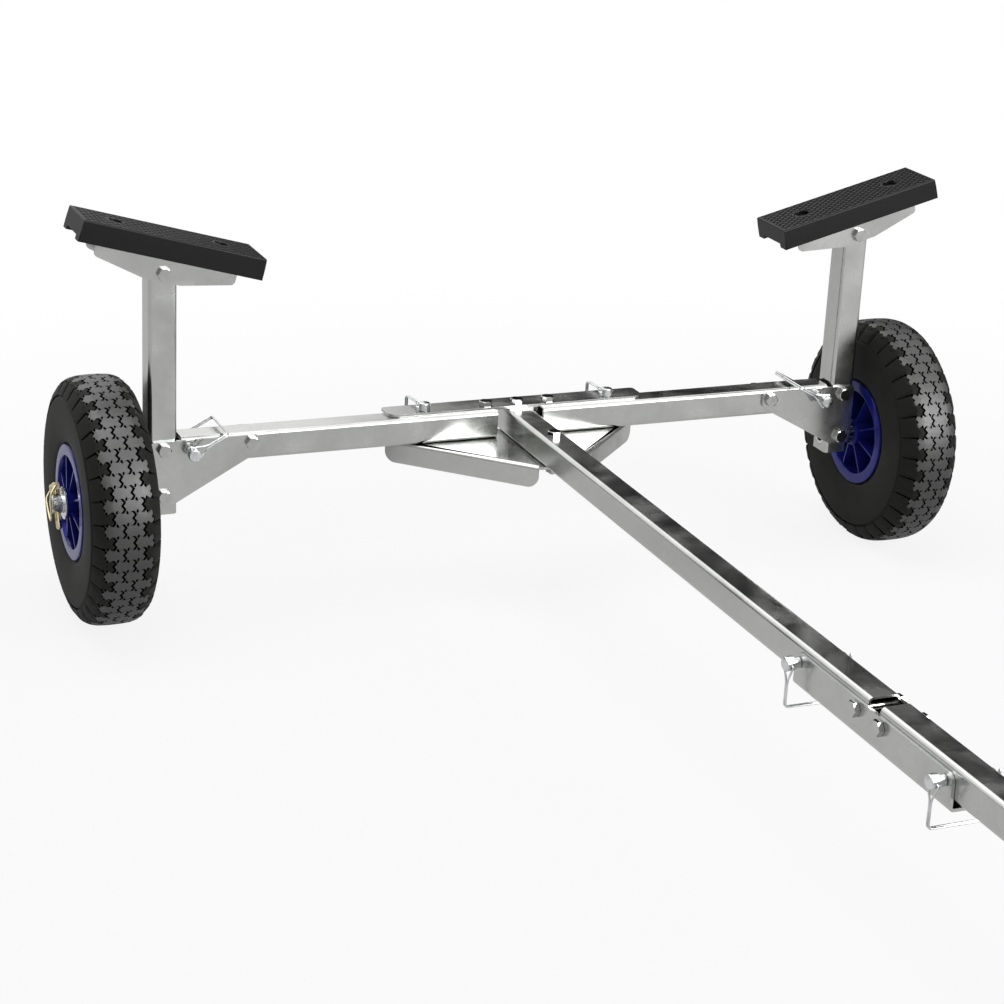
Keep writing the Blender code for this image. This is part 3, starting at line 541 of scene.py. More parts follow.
def bolts():
    long_bolt = bolt(CLAMP)
    for node in sorted(BODY_OF):
        if "bolt" not in node:
            continue
        x, y, z = mid(node)
        if node == "drawbar_bolt_front":
            add(node, bolt(TUBE + GAP + SHEET), DULL, (x, y, BEAM_Z - (GAP + SHEET) / 2))
        elif node.startswith(("beam_pivot", "drawbar_bolt")):
            add(node, long_bolt, DULL, (x, y, BEAM_Z))
        elif node.startswith(("fold_bolt", "stand_bolt")):
            add(node, long_bolt, DULL, (0, y, z), towards(-X))
        else:
            add(node, long_bolt, DULL, (x, 0, z), towards(-Y))


# Lock pins and their wire clips

PIN_HEAD_R = 6.6
PIN_HEAD = 9.0
PIN_NECK = 9.0
FOLD_NECK = 6.0
PIN_NECK_R = 5.2
PIN_TAIL = 6.0
WIRE_R = 0.95
WIRE_APART = 0.3
CLIP_REACH = 41.0
CLIP_TILT = math.radians(28)
CLIP_PAST_TAIL = 3.8


def lock_pin(neck_height):
    """A pin through the clamped plates, its turned head standing off them on a neck."""
    low, high = -CLAMP / 2, CLAMP / 2
    neck = high + neck_height
    tail = low + neck_height - PIN_NECK - PIN_TAIL
    crown = neck + PIN_HEAD
    profile = [
        (0, crown), (PIN_HEAD_R * 0.62, crown), (PIN_HEAD_R * 0.9, crown - 0.5), (PIN_HEAD_R, crown - 1.6),
        (PIN_HEAD_R, neck + 0.5), (PIN_HEAD_R - 0.5, neck),
    ]
    if neck_height > GAP:
        profile += [(PIN_NECK_R, neck), (PIN_NECK_R, high + GAP + 0.6), (PIN_NECK_R - 0.6, high + GAP)]
    profile += [(PIN_R, high + GAP), (PIN_R, tail + 1.6), (PIN_R - 0.5, tail + 0.5)]
    profile += [(PIN_R - 1.4, tail), (0, tail)]
    return turned(profile, 56)


def clip(neck_height):
    """Square wire of a lock pin: from the head's sides to a V, out, along the pin, and back past its tail."""
    low, high = -CLAMP / 2, CLAMP / 2
    head = high + neck_height + PIN_HEAD / 2
    tail = low + neck_height - PIN_NECK - PIN_TAIL - WIRE_R - CLIP_PAST_TAIL
    side = PIN_HEAD_R - 1.5
    pair = WIRE_R + WIRE_APART / 2
    reach = CLIP_REACH
    half = [
        (0, side, head), (0, side + 3.7, head), (reach * 0.4, pair, head), (reach, pair, head),
        (reach, pair, tail), (1.0, pair, tail),
    ]
    other = [(x, -y, z) for x, y, z in reversed(half)]
    return wire(eased(half + [(-3.0, 0.0, tail - 0.6)] + other, 4.0), WIRE_R)


def locks():
    for side, sign in SIDES:
        at = (mid("beam_lock_pin_" + side).x, 0, BEAM_Z)
        lock("beam_lock", side, at, Z, Vector((-0.12, 0.993, 0)), GAP)
        pin = mid("leg_lock_pin_" + side)
        out = Vector((-sign * math.cos(CLIP_TILT), 0, math.sin(CLIP_TILT)))
        lock("leg_lock", side, (pin.x, 0, pin.z), -Y, out, PIN_NECK)
    for end in ("rear", "front"):
        pin = mid("fold_pin_" + end)
        lock("fold", end, (0, pin.y, pin.z), -X, -Z, FOLD_NECK)


def lock(name, where, at, head, out, neck):
    """Pin and clip together: the pin's head points along head, and its clip lies to the side of out."""
    aside = out.normalized()
    turn = basis(aside, head.cross(aside), head)
    add(f"{name}_pin_{where}", lock_pin(neck), BRIGHT, at, turn)
    add(f"{name}_clip_{where}", clip(neck), BRIGHT, at, turn)


# Crossbeam, centre plates and drawbar

LOCK_SLOT = 3.0
GUSSET_X = 149.5
GUSSET_NOSE_X = 17.0
GUSSET_LIP_INSET = 4.0
GUSSET_STRIP = 5.2


def square_tube(length):
    """Square tube along its own Z, centred."""
    outer = rectangle(-HALF, -HALF, HALF, HALF, TUBE_CORNER, 6)
    inner = rectangle(WALL - HALF, WALL - HALF, HALF - WALL, HALF - WALL, TUBE_CORNER - WALL, 3)
    return extruded([outer, inner], length)


def beams():
    for side, sign in SIDES:
        node = "beam_" + side
        low, high = node_box(node)
        lock_x = mid("beam_lock_pin_" + side).x
        near, far = sorted((lock_x + sign * PIN_HOLE, lock_x - sign * (PIN_HOLE + LOCK_SLOT)))
        slot = rectangle(near, -PIN_HOLE, far, TUBE, PIN_R, far=0)
        pivot, leg = mid("beam_pivot_bolt_" + side), mid("leg_pivot_bolt_" + side)
        pin = mid("leg_lock_pin_" + side)
        tools = [
            slab(slot, TUBE * 2, (0, 0, BEAM_Z)),
            drill(BOLT_HOLE, (pivot.x, 0, BEAM_Z), ALONG_Z, TUBE),
            drill(BOLT_HOLE, (leg.x, 0, leg.z), ALONG_Y, TUBE),
            drill(PIN_HOLE, (pin.x, 0, pin.z), ALONG_Y, TUBE),
        ]
        tube = moved(square_tube(high.x - low.x), ((low.x + high.x) / 2, 0, BEAM_Z), ALONG_X)
        add(node, edged(cut(tube, tools), 0.3), STEEL)


def centre_plates():
    low, high = node_box("centre_top_plate")
    holes = []
    for side, _ in SIDES:
        holes.append(circle(mid("beam_pivot_bolt_" + side).x, 0, BOLT_HOLE))
        holes.append(circle(mid("beam_lock_pin_" + side).x, 0, PIN_HOLE))
    outline = rectangle(low.x, low.y, high.x, high.y, 13.0, far=4.0)
    top = extruded([outline, circle(0, 0, BOLT_HOLE)] + holes, SHEET)
    add("centre_top_plate", edged(top, 0.5), STEEL, (0, 0, (low.z + high.z) / 2))

    low, high = node_box("gusset_plate")
    plate_z = BEAM_Z - HALF - GAP - SHEET / 2
    nose, rear = Vector((GUSSET_NOSE_X, low.y, 0)), Vector((GUSSET_X, high.y, 0))
    side = rear - nose
    along, inward = side.normalized(), Vector((-side.y, side.x, 0)).normalized()
    ends = [nose + along * (GUSSET_LIP_INSET + 0.02), rear - along * (GUSSET_LIP_INSET + 0.02)]
    half = [(nose.x, nose.y, 4.0), (ends[0].x, ends[0].y, 0)]
    half += [(*(end + inward * GUSSET_STRIP).xy, 0) for end in ends]
    half += [(ends[1].x, ends[1].y, 0), (rear.x, rear.y, 1.5)]
    outline = rounded(half + [(-x, y, r) for x, y, r in reversed(half)])
    front = mid("drawbar_bolt_front").y
    plate = extruded([outline, circle(0, 0, BOLT_HOLE), circle(0, front, BOLT_HOLE)] + holes, SHEET)
    length = side.length - 2 * GUSSET_LIP_INSET
    depth = plate_z + SHEET / 2 - low.z
    middle = (nose + rear) / 2
    bend = rounded([
        (-0.05, SHEET / 2, 4.5), (-0.05, SHEET / 2 - depth, 0), (SHEET, SHEET / 2 - depth, 0),
        (SHEET, -SHEET / 2, 1.5), (GUSSET_STRIP, -SHEET / 2, 0), (GUSSET_STRIP, SHEET / 2, 0),
    ])
    corner = rectangle(-length / 2, SHEET / 2 - depth, length / 2, SHEET, 12.0, far=0)
    flange = combined(slab(bend, length, turn=ALONG_X), slab(corner, 40, turn=ALONG_Y), "INTERSECT")
    for sign in (-1, 1):
        across = Vector((sign * inward.x, inward.y, 0))
        turn = basis(across.cross(Z), across, Z)
        plate = combined(plate, moved(flange, (sign * middle.x, middle.y, 0), turn), "UNION")
    add("gusset_plate", edged(plate, 0.45), STEEL, (0, 0, plate_z))


FOLD_RADIUS_GAP = 0.8
FOLD_BEND_R = 4.5
WELD_R = 2.2


def channel(web, free, outer_r, inner_r):
    """Section of a bent sheet channel that fits round a tube, from its web to its free edges."""
    outer, inside = EAR + SHEET, web + math.copysign(SHEET, free - web)
    return rounded([
        (-outer, free, 0), (-outer, web, outer_r), (outer, web, outer_r), (outer, free, 0),
        (EAR, free, 0), (EAR, inside, inner_r), (-EAR, inside, inner_r), (-EAR, free, 0),
    ])


def fold_tools(bolt_node, pin_node, end_y):
    """The cuts at a section's end: bolt hole, lower corner rounded about the bolt, and the open lock slot."""
    bolt_at, pin = mid(bolt_node), mid(pin_node)
    ahead = math.copysign(1.0, end_y - bolt_at.y)
    floor = node_box("fold_channel")[0].z + SHEET
    radius = bolt_at.z - floor - FOLD_RADIUS_GAP
    far = bolt_at.y + ahead * 2 * TUBE
    corner = [(bolt_at.y, bolt_at.z - TUBE), (far, bolt_at.z - TUBE), (far, bolt_at.z)]
    for k in range(25):
        t = math.pi / 2 * k / 24
        corner.append((bolt_at.y + ahead * radius * math.cos(t), bolt_at.z - radius * math.sin(t)))
    low, high = sorted((pin.y - ahead * PIN_HOLE, pin.y + ahead * (PIN_HOLE + LOCK_SLOT)))
    under, over = BEAM_Z - HALF - 5, pin.z + PIN_HOLE
    slot = rectangle(low, under, high, over, 0, far=PIN_R)
    return [
        drill(BOLT_HOLE, (0, bolt_at.y, bolt_at.z), ALONG_X, TUBE),
        slab(corner, TUBE * 2, turn=ALONG_X),
        slab(slot, TUBE * 2, turn=ALONG_X),
    ]


def drawbar():
    low, high = node_box("drawbar_rear")
    tools = fold_tools("fold_bolt_rear", "fold_pin_rear", low.y)
    for node in ("drawbar_bolt_centre", "drawbar_bolt_front"):
        tools.append(drill(BOLT_HOLE, (0, mid(node).y, BEAM_Z), ALONG_Z, TUBE))
    tube = moved(square_tube(high.y - low.y), (0, (low.y + high.y) / 2, BEAM_Z), ALONG_Y)
    add("drawbar_rear", edged(cut(tube, tools), 0.3), STEEL)

    low, high = node_box("drawbar_front")
    tools = fold_tools("fold_bolt_front", "fold_pin_front", high.y)
    stand = mid("stand_bolt")
    tools.append(drill(BOLT_HOLE, (0, stand.y, stand.z), ALONG_X, TUBE))
    bar_y = mid("grip_left").y
    bar_r = bar_y - low.y
    stop = bar_y + bar_r * 0.6
    tube = moved(square_tube(high.y - stop), (0, (stop + high.y) / 2, BEAM_Z), ALONG_Y)
    half = high.x
    edge = bar_r - WALL
    bar = turned([
        (edge, half), (bar_r - 0.4, half), (bar_r, half - 0.4), (bar_r, 0.4 - half), (bar_r - 0.4, -half),
        (edge, -half),
    ], 72)
    bar = moved(bar, (0, bar_y, BEAM_Z), outward(1))
    whole = combined(cut(tube, tools), bar, "UNION")
    add("drawbar_front", joined([edged(whole, 0.3), weld_bead(bar_y, bar_r)]), STEEL)

    low, high = node_box("fold_channel")
    section = channel(low.z, high.z, FOLD_BEND_R, FOLD_BEND_R - SHEET)
    shape = slab(section, high.y - low.y, (0, (low.y + high.y) / 2, 0), ALONG_Y)
    side = rectangle(low.y, low.z - 5, high.y, high.z, 0, 12, far=9.0)
    shape = combined(shape, slab(side, 80, turn=ALONG_X), "INTERSECT")
    holes = []
    for node, radius in (("fold_bolt", BOLT_R), ("fold_pin", PIN_R)):
        for end in ("rear", "front"):
            spot = mid(f"{node}_{end}")
            holes.append(drill(radius + GAP, (0, spot.y, spot.z), ALONG_X, TUBE))
    add("fold_channel", edged(cut(shape, holes), 0.5), STEEL)


def weld_bead(bar_y, bar_r):
    """A rippled fillet weld where the square tube meets the round bar, on its top and bottom."""
    steps, ripple, inset = 44, 0.35, 3.2
    beads = []
    for up in (-1, 1):
        height = BEAM_Z + up * (HALF - inset)
        points = [
            (-HALF + TUBE * k / steps, bar_y + bar_r * 0.55, height + ripple * math.sin(k * 1.4))
            for k in range(steps + 1)
        ]
        beads.append(wire(points, WELD_R))
    return joined(beads)


# Legs


def legs():
    for side, sign in SIDES:
        pivot, pin = mid("leg_pivot_bolt_" + side), mid("leg_lock_pin_" + side)
        bolts_z = [mid(f"upright_bolt_{where}_{side}").z for where in ("upper", "lower")]
        pad_z = mid("pad_bolt_" + side).z
        low, high = node_box("upright_" + side)
        middle = (sign * UPRIGHT_X, 0, (low.z + high.z) / 2)
        tools = [drill(BOLT_HOLE, (sign * UPRIGHT_X, 0, z), ALONG_Y, TUBE) for z in bolts_z + [pad_z]]
        tools.append(drill(AXLE_R + GAP, (sign * UPRIGHT_X, 0, WHEEL_R), ALONG_X, TUBE))
        add("upright_" + side, edged(cut(moved(square_tube(high.z - low.z), middle), tools), 0.3), STEEL)

        outline = rounded([(sign * x, z, r) for x, z, r in SIDE_PLATE])
        holes = [circle(pivot.x, pivot.z, BOLT_HOLE)]
        holes += [circle(sign * UPRIGHT_X, z, BOLT_HOLE) for z in bolts_z]
        under, above = pin.z - PIN_HOLE, SIDE_PLATE_TOP + SHEET
        near, far = pin.x - sign * PIN_HOLE, pin.x + sign * PIN_HOLE
        notch = rounded([
            (far, under, PIN_R), (near, under, PIN_R), (near - sign * NOTCH_FLARE, above, 0), (far, above, 0),
        ])
        plate = combined(extruded([outline] + holes, SHEET), extruded([notch], SHEET * 3), "DIFFERENCE")
        plate = edged(plate, 0.5)
        for face, y in (("front", -1), ("rear", 1)):
            add(f"side_plate_{face}_{side}", plate, STEEL, (0, y * (EAR + SHEET / 2), 0), ALONG_Y)


SIDE_PLATE_TOP = node_box("side_plate_front_left")[1].z
NOTCH_FLARE = 1.8
SIDE_PLATE = (
    (414.0, SIDE_PLATE_TOP, 4.0), (296.0, SIDE_PLATE_TOP, 6.0), (296.0, 178.0, 6.0),
    (309.0, 168.6, 5.0), (388.0, 125.0, 5.0), (414.0, 125.0, 5.0),
)


# Wheels

HUB_HALF = 37.0
HUB_R = 15.0
RIM_HALF = 33.5
RIM_R = 60.5
RIM_WELL_R = 47.0
LIP_INNER_R = 49.5
SEAT_R = 53.0
COLLAR_R = 12.0
RIBS = 8
RIB = 2.2


def rim():
    """A dished nylon rim: flat lips, a deep well on each side of a web, and thin radial ribs."""
    web = 3.0
    half = [
        (AXLE_R + 0.4, HUB_HALF - 0.6), (AXLE_R + 1.0, HUB_HALF), (HUB_R - 0.8, HUB_HALF),
        (HUB_R, HUB_HALF - 0.8), (HUB_R + 1.4, web + 3.0), (HUB_R + 4.0, web),
        (RIM_WELL_R - 9.0, web), (RIM_WELL_R - 5.6, web + 2.6), (LIP_INNER_R - 1.0, RIM_HALF - 1.4),
        (LIP_INNER_R - 0.3, RIM_HALF - 0.3), (LIP_INNER_R + 0.6, RIM_HALF), (RIM_R - 1.6, RIM_HALF),
        (RIM_R - 0.5, RIM_HALF - 0.5), (RIM_R, RIM_HALF - 1.6), (RIM_R - 0.4, RIM_HALF - 3.0),
        (SEAT_R, RIM_HALF - 3.5), (RIM_WELL_R, 10.0),
    ]
    shapes = [turned(half + [(r, -h) for r, h in reversed(half)], 120)]
    end_r, end_z = LIP_INNER_R + 0.8, RIM_HALF - 2.4
    hub_z = HUB_HALF - 2.6
    for k in range(RIBS):
        for up in (-1, 1):
            outline = [
                (HUB_R - 2.0, up * hub_z), (HUB_R + 4.0, up * (hub_z - 0.8)), (end_r, up * end_z),
                (RIM_WELL_R - 3.0, up * (web - 1.5)), (HUB_R - 2.0, up * (web - 1.5)),
            ]
            rib = edged(extruded([outline], RIB), 0.35)
            turn = Matrix.Rotation(2 * math.pi * (k + 0.5) / RIBS, 4, "Z") @ ALONG_Y
            shapes.append(moved(rib, turn=turn))
    return joined(shapes)


# Tread: rows of star blocks round the crown, each row shifted by half a block from the next

REPEATS = 32
BLOCK = 20.65
ROW = 2 * math.pi * WHEEL_R / REPEATS / 2
TREAD_SHIFT = 1.2
GROOVE = 2.5
SLIT = 0.2
NOTCH = 3.6
SWING = 1.4
START = 0.9
END = -0.8
LUG_FOOT = 0.3
LUG_TOP = -1.5
LUG_END = 44.0
TREAD = 4.4
GROOVE_FLOOR_R = 119
CROWN = (
    (0.0, 130.0), (8.0, 129.9), (16.0, 129.3), (22.0, 127.8), (27.0, 125.0), (31.0, 120.8), (33.5, 116.0),
    (35.0, 111.0), (35.8, 105.0),
)


def crown_point(u, lift):
    """(x, radius) at a distance u round the crown's arc from the middle, lift below its surface."""
    sign = -1 if u < 0 else 1
    rest = abs(u)
    for (x0, r0), (x1, r1) in zip(CROWN, CROWN[1:]):
        length = math.hypot(x1 - x0, r1 - r0)
        if rest <= length or x1 == CROWN[-1][0]:
            t = rest / length
            nx, nr = (r0 - r1) / length, (x1 - x0) / length
            return sign * (x0 + (x1 - x0) * t - nx * lift), r0 + (r1 - r0) * t - nr * lift
        rest -= length


# The line between two rows over a block's width: (share of the width, height, opening). The lower row's
# grooves start at its ends and the upper row's groove ends at its middle.
TIP = GROOVE / 2 / BLOCK
EDGE = (
    (TIP, START, SLIT), (0.165, -1.0, SLIT), (0.178, -0.7, NOTCH), (0.262, 1.3, NOTCH),
    (0.275, 1.6, SLIT), (0.5 - TIP, END, SLIT), (0.5 + TIP, END, SLIT), (0.65, 1.4, SLIT),
    (0.663, 1.1, NOTCH), (0.765, -1.3, NOTCH), (0.78, -1.6, SLIT), (1 - TIP, START, SLIT),
)


def wall(across, row=0.0):
    """One side of a groove, from its lower end up: four straight lengths to and fro."""
    rise = (ROW + START - END) / 4
    return [
        (across + (-SWING if k % 2 else SWING), row - ROW / 2 + END + k * rise) for k in range(5)
    ]


def edge(up, centre, low=0.0, high=1.0, row=0.0):
    """Top of a block (up is 1) or its foot (up is -1), between two shares of its width."""
    side = centre + BLOCK / 2 + SWING
    places = EDGE if up > 0 else sorted(((u + 0.5) % 1, h, gap) for u, h, gap in EDGE)
    return [
        (side - u * BLOCK, row + up * ROW / 2 + h - up * gap / 2) for u, h, gap in places if low <= u <= high
    ]


def star(centre):
    """Outline of a whole block as (across, along)."""
    half = BLOCK / 2 - GROOVE / 2
    far, near = wall(centre - half), wall(centre + half)
    return edge(1, centre) + far[3:0:-1] + edge(-1, centre)[::-1] + near[1:4]


def outer_lug():
    """Shoulder block beside the outer side's stars: part of the upper row and part of the row below it."""
    upper, lower = TREAD_SHIFT + BLOCK * 1.25, TREAD_SHIFT + BLOCK * 0.75
    top, foot = ROW / 2 + LUG_TOP, -ROW * 1.5 + LUG_FOOT
    out = [(LUG_END, top), (upper + GROOVE / 2 - 0.45, top)] + wall(upper + GROOVE / 2)[3::-1]
    out += edge(1, lower + BLOCK / 2, 0.5, 1.0, -ROW)
    out += wall(lower + GROOVE / 2, -ROW)[3:0:-1]
    out += edge(-1, lower + BLOCK / 2, 0.4, 1.0, -ROW)[::-1]
    return out + [(upper + GROOVE / 2 + SWING, foot), (LUG_END, foot)]


def inner_lug():
    """The same for the inner side, whose upper row ends further in."""
    upper, lower = TREAD_SHIFT - BLOCK * 0.75, TREAD_SHIFT - BLOCK * 1.25
    top, foot = ROW / 2 + LUG_TOP, -ROW * 1.5 + LUG_FOOT
    out = [(-LUG_END, top), (lower + SWING, top)] + edge(1, upper - BLOCK / 2, 0.0, 0.5)[::-1]
    out += wall(upper - GROOVE / 2)[3:0:-1]
    out += edge(-1, upper - BLOCK / 2, 0.0, 0.5)
    out += wall(lower - GROOVE / 2, -ROW)[4:0:-1]
    return out + [(lower - GROOVE / 2 + 0.55, foot), (-LUG_END, foot)]


# Order of the tyre's materials: sidewall, tread, and the near-black one that paints the shade in the grooves
SIDE_FINISH, TREAD_FINISH, GROOVE_SHADE_FINISH = 0, 1, 2


def block(bm, outline, turn, top=TREAD_FINISH):
    """Adds one tread block: sides painted near-black as groove shade, a small chamfer and a top that follows
    the crown.
    """
    levels = ((1.0, TREAD + 0.6), (1.0, 0.3), (0.975, 0.0), (0.6, 0.0))
    cu = sum(u for u, s in outline) / len(outline)
    cs = sum(s for u, s in outline) / len(outline)
    rings = []
    for scale, lift in levels:
        places = [(cu + (u - cu) * scale, cs + (s - cs) * scale) for u, s in outline]
        rings.append([on_tyre(bm, u, s, lift, turn) for u, s in places])
    count = len(outline)
    for level, (a, b) in enumerate(zip(rings, rings[1:])):
        for k in range(count):
            face = bm.faces.new((a[k], a[(k + 1) % count], b[(k + 1) % count], b[k]))
            face.material_index = GROOVE_SHADE_FINISH if level == 0 else top
    tip = on_tyre(bm, cu, cs, 0.0, turn)
    for k in range(count):
        bm.faces.new((rings[-1][k], rings[-1][(k + 1) % count], tip)).material_index = top
    bm.faces.new(rings[0]).material_index = GROOVE_SHADE_FINISH


def on_tyre(bm, u, s, lift, turn):
    """A vertex at u across and s along the crown, lift below it, with the wheel turned."""
    x, radius = crown_point(u, lift)
    angle = turn + s / WHEEL_R
    return bm.verts.new((radius * math.cos(angle), radius * math.sin(angle), x))


def tyre():
    """Carcass turned from its profile, and the tread blocks that stand on its groove floor, which is painted
    near-black as shade.
    """
    shell = [crown_point(u, TREAD - max(u - 30, 0) * 0.12) for u in range(0, 43, 3)]
    side = [
        (34.4, 109.0), (35.6, 107.6), (36.0, 104.0), (36.0, 92.0), (35.6, 84.0), (34.8, 76.0), (33.8, 69.0),
        (33.0, 65.4), (31.8, 62.8), (30.4, 61.7), (29.6, 60.8), (29.4, 54.0),
    ]
    half = [(r, x) for x, r in shell + side]
    inner = [(54.0, 17.0), (68.0, 28.0), (106.0, 28.0), (117.0, 12.0)]
    profile = half + inner
    mirrored = [(r, -h) for r, h in reversed(profile) if h > 0.01]
    carcass = turned(profile + mirrored, 160)
    for face in carcass.polygons:
        # The carcass between the tread blocks takes the painted groove shade
        if face.center.xy.length > GROOVE_FLOOR_R:
            face.material_index = GROOVE_SHADE_FINISH
    bm = bmesh.new()
    outer, inner = outer_lug(), inner_lug()
    quarter = BLOCK / 4
    for k in range(REPEATS):
        first = 2 * math.pi * k / REPEATS
        second = first + math.pi / REPEATS
        for across in (quarter, -3 * quarter):
            block(bm, star(TREAD_SHIFT + across), first)
            block(bm, star(TREAD_SHIFT - across), second)
        block(bm, outer, second, SIDE_FINISH)
        block(bm, inner, second, SIDE_FINISH)
    return joined([carcass, mesh_from(bm)])


def wheels():
    rim_mesh, tyre_mesh = rim(), tyre()
    for side, sign in SIDES:
        at = (sign * WHEEL_X, 0, WHEEL_R)
        add("rim_" + side, rim_mesh, NAVY, at, outward(sign))
        finishes = add("tyre_" + side, tyre_mesh, TYRE, at, outward(sign), sharp=32).data.materials
        finishes.append(TREAD_RUBBER)
        finishes.append(GROOVE_SHADE_RUBBER)
        axle(side, sign)
        linch(side, sign)


def axle(side, sign):
    """A hollow stub axle from inside the upright to past the hub, with its collar, and the hub's washer."""
    inner = UPRIGHT_X - HALF
    end = node_box("axle_right")[1].x
    collar = (UPRIGHT_X + HALF + GAP, WHEEL_X - HUB_HALF - GAP)
    bore = AXLE_R - WALL - 1.0
    profile = [
        (bore, end - 0.5), (bore + 0.5, end), (AXLE_R - 1.0, end), (AXLE_R, end - 1.0), (AXLE_R, collar[1]),
        (COLLAR_R - 0.5, collar[1]), (COLLAR_R, collar[1] - 0.5), (COLLAR_R, collar[0] + 0.5),
        (COLLAR_R - 0.5, collar[0]), (AXLE_R, collar[0]), (AXLE_R, inner), (bore, inner),
    ]
    shape = moved(turned(profile, 72), (0, 0, WHEEL_R), outward(sign))
    lower = mid("upright_bolt_lower_" + side)
    pin = mid("linch_pin_" + side)
    tools = [drill(BOLT_HOLE, (sign * UPRIGHT_X, 0, lower.z), ALONG_Y, TUBE)]
    tools.append(drill(LINCH_R + GAP, (pin.x, 0, WHEEL_R), LINCH_TURN, TUBE))
    add("axle_" + side, cut(shape, tools), BRIGHT)

    low, high = node_box("hub_washer_right")
    outer = high.z - WHEEL_R
    hole = AXLE_R + GAP
    ring = [
        (outer - 0.5, high.x), (outer, high.x - 0.5), (outer, low.x + 0.3), (outer - 0.3, low.x),
        (hole, low.x), (hole, high.x - 0.3), (hole + 0.3, high.x),
    ]
    add("hub_washer_" + side, turned(ring, 72), BRIGHT, (0, 0, WHEEL_R), outward(sign))


LINCH_TURN = Matrix.Rotation(math.radians(-28), 4, "X")
LINCH_R = 3.0
LINCH_HINGE = 17.0
LINCH_BAR_R = 4.0
LINCH_BAR_HALF = 9.5
LINCH_TAIL = 27.0
LINCH_WIRE_R = 1.1


def linch(side, sign):
    """A linch pin leaning back through the axle's end, with its spring ring hinged on the head's crossbar."""
    neck, tail = AXLE_R + GAP, -LINCH_TAIL
    profile = [
        (0, LINCH_HINGE), (4.6, LINCH_HINGE), (5.0, neck + 1.0), (4.4, neck), (LINCH_R, neck),
        (LINCH_R, tail + 2.6), (LINCH_R - 0.5, tail + 1.0), (LINCH_R - 1.6, tail), (0, tail),
    ]
    tall, wide = LINCH_BAR_R, LINCH_BAR_R * 0.86
    section = rectangle(-wide, -tall, wide, tall, 1.3, 5)
    bar = edged(extruded([section], 2 * LINCH_BAR_HALF), 0.5, 50)
    bar = moved(bar, (0, 0, LINCH_HINGE), ALONG_Y)
    pin = mid("linch_pin_" + side)
    at = (pin.x, 0, WHEEL_R)
    add("linch_pin_" + side, joined([turned(profile, 48), bar]), YELLOW, at, LINCH_TURN)
    clear = node_box("axle_right")[1].x - sign * pin.x + LINCH_WIRE_R + 1.0
    edge = LINCH_BAR_HALF
    points = [
        (0, edge - 1.5, LINCH_HINGE), (0, edge + 1.2, LINCH_HINGE), (2.0, edge + 2.2, LINCH_HINGE - 1.5),
        (clear, edge + 2.5, 8.0), (clear, 8.5, -4.0), (clear, 4.5, -13.0), (clear, 0.0, -18.0),
    ]
    points += [(x, -y, z) for x, y, z in reversed(points[:-1])]
    points = [(sign * x, y, z) for x, y, z in points]
    add("linch_ring_" + side, wire(eased(points, 5.0, 6), LINCH_WIRE_R), YELLOW, at, LINCH_TURN)


# Pads

PAD_LENGTH = 196.0
PAD_WIDTH = 66.0
PAD_TOP = 39.4
PAD_SKIRT = 16.6
BRACKET_WEB = 20.7
BRACKET_HALF = 75.0
PAD_SCREW = 57.0
BORDER = 4.0
CELL = (11.0, 7.0)
CELL_TOP = 0.72
RECESS = 1.0
RING_R = 10.5
HOLE_R = 7.8


def clipped(polygon, low, high):
    """A convex polygon cut to an upright rectangle."""
    for axis in (0, 1):
        for sign, limit in ((1, high[axis]), (-1, -low[axis])):
            out = []
            for i, p in enumerate(polygon):
                q = polygon[(i + 1) % len(polygon)]
                a, b = sign * p[axis] - limit, sign * q[axis] - limit
                if a <= 0:
                    out.append(p)
                if a * b < 0:
                    t = a / (a - b)
                    out.append((p[0] + (q[0] - p[0]) * t, p[1] + (q[1] - p[1]) * t))
            polygon = out
            if len(polygon) < 3:
                return []
    return polygon


def diamonds():
    """Low diamond pyramids with flat tops that fill the pad's recessed field."""
    bm = bmesh.new()
    half_x, half_y = PAD_LENGTH / 2 - BORDER, PAD_WIDTH / 2 - BORDER
    dx, dy = CELL
    field_low, field_high = (-half_x, -half_y), (half_x, half_y)
    columns, rows = int(half_x / dx) + 2, int(half_y / dy) + 2
    gap = 0.55
    for i in range(-2 * columns, 2 * columns + 1):
        for j in range(-2 * rows, 2 * rows + 1):
            if (i + j) % 2:
                continue
            cx, cy = i * dx / 2, j * dy / 2
            if min(math.hypot(cx - s * PAD_SCREW, cy) for s in (-1, 1)) < RING_R - 1.5:
                continue
            rx, ry = dx / 2 - gap, dy / 2 - gap * dy / dx
            corners = [(cx - rx, cy), (cx, cy - ry), (cx + rx, cy), (cx, cy + ry)]
            foot = clipped(corners, field_low, field_high)
            if len(foot) < 3:
                continue
            count = len(foot)
            mx, my = sum(x for x, y in foot) / count, sum(y for x, y in foot) / count
            low = [bm.verts.new((x, y, PAD_TOP - RECESS - 0.3)) for x, y in foot]
            top = [
                bm.verts.new((mx + (x - mx) * CELL_TOP, my + (y - my) * CELL_TOP, PAD_TOP)) for x, y in foot
            ]
            for k in range(count):
                n = (k + 1) % count
                bm.faces.new((low[k], low[n], top[n], top[k]))
            bm.faces.new(top)
            bm.faces.new(list(reversed(low)))
    return mesh_from(bm)


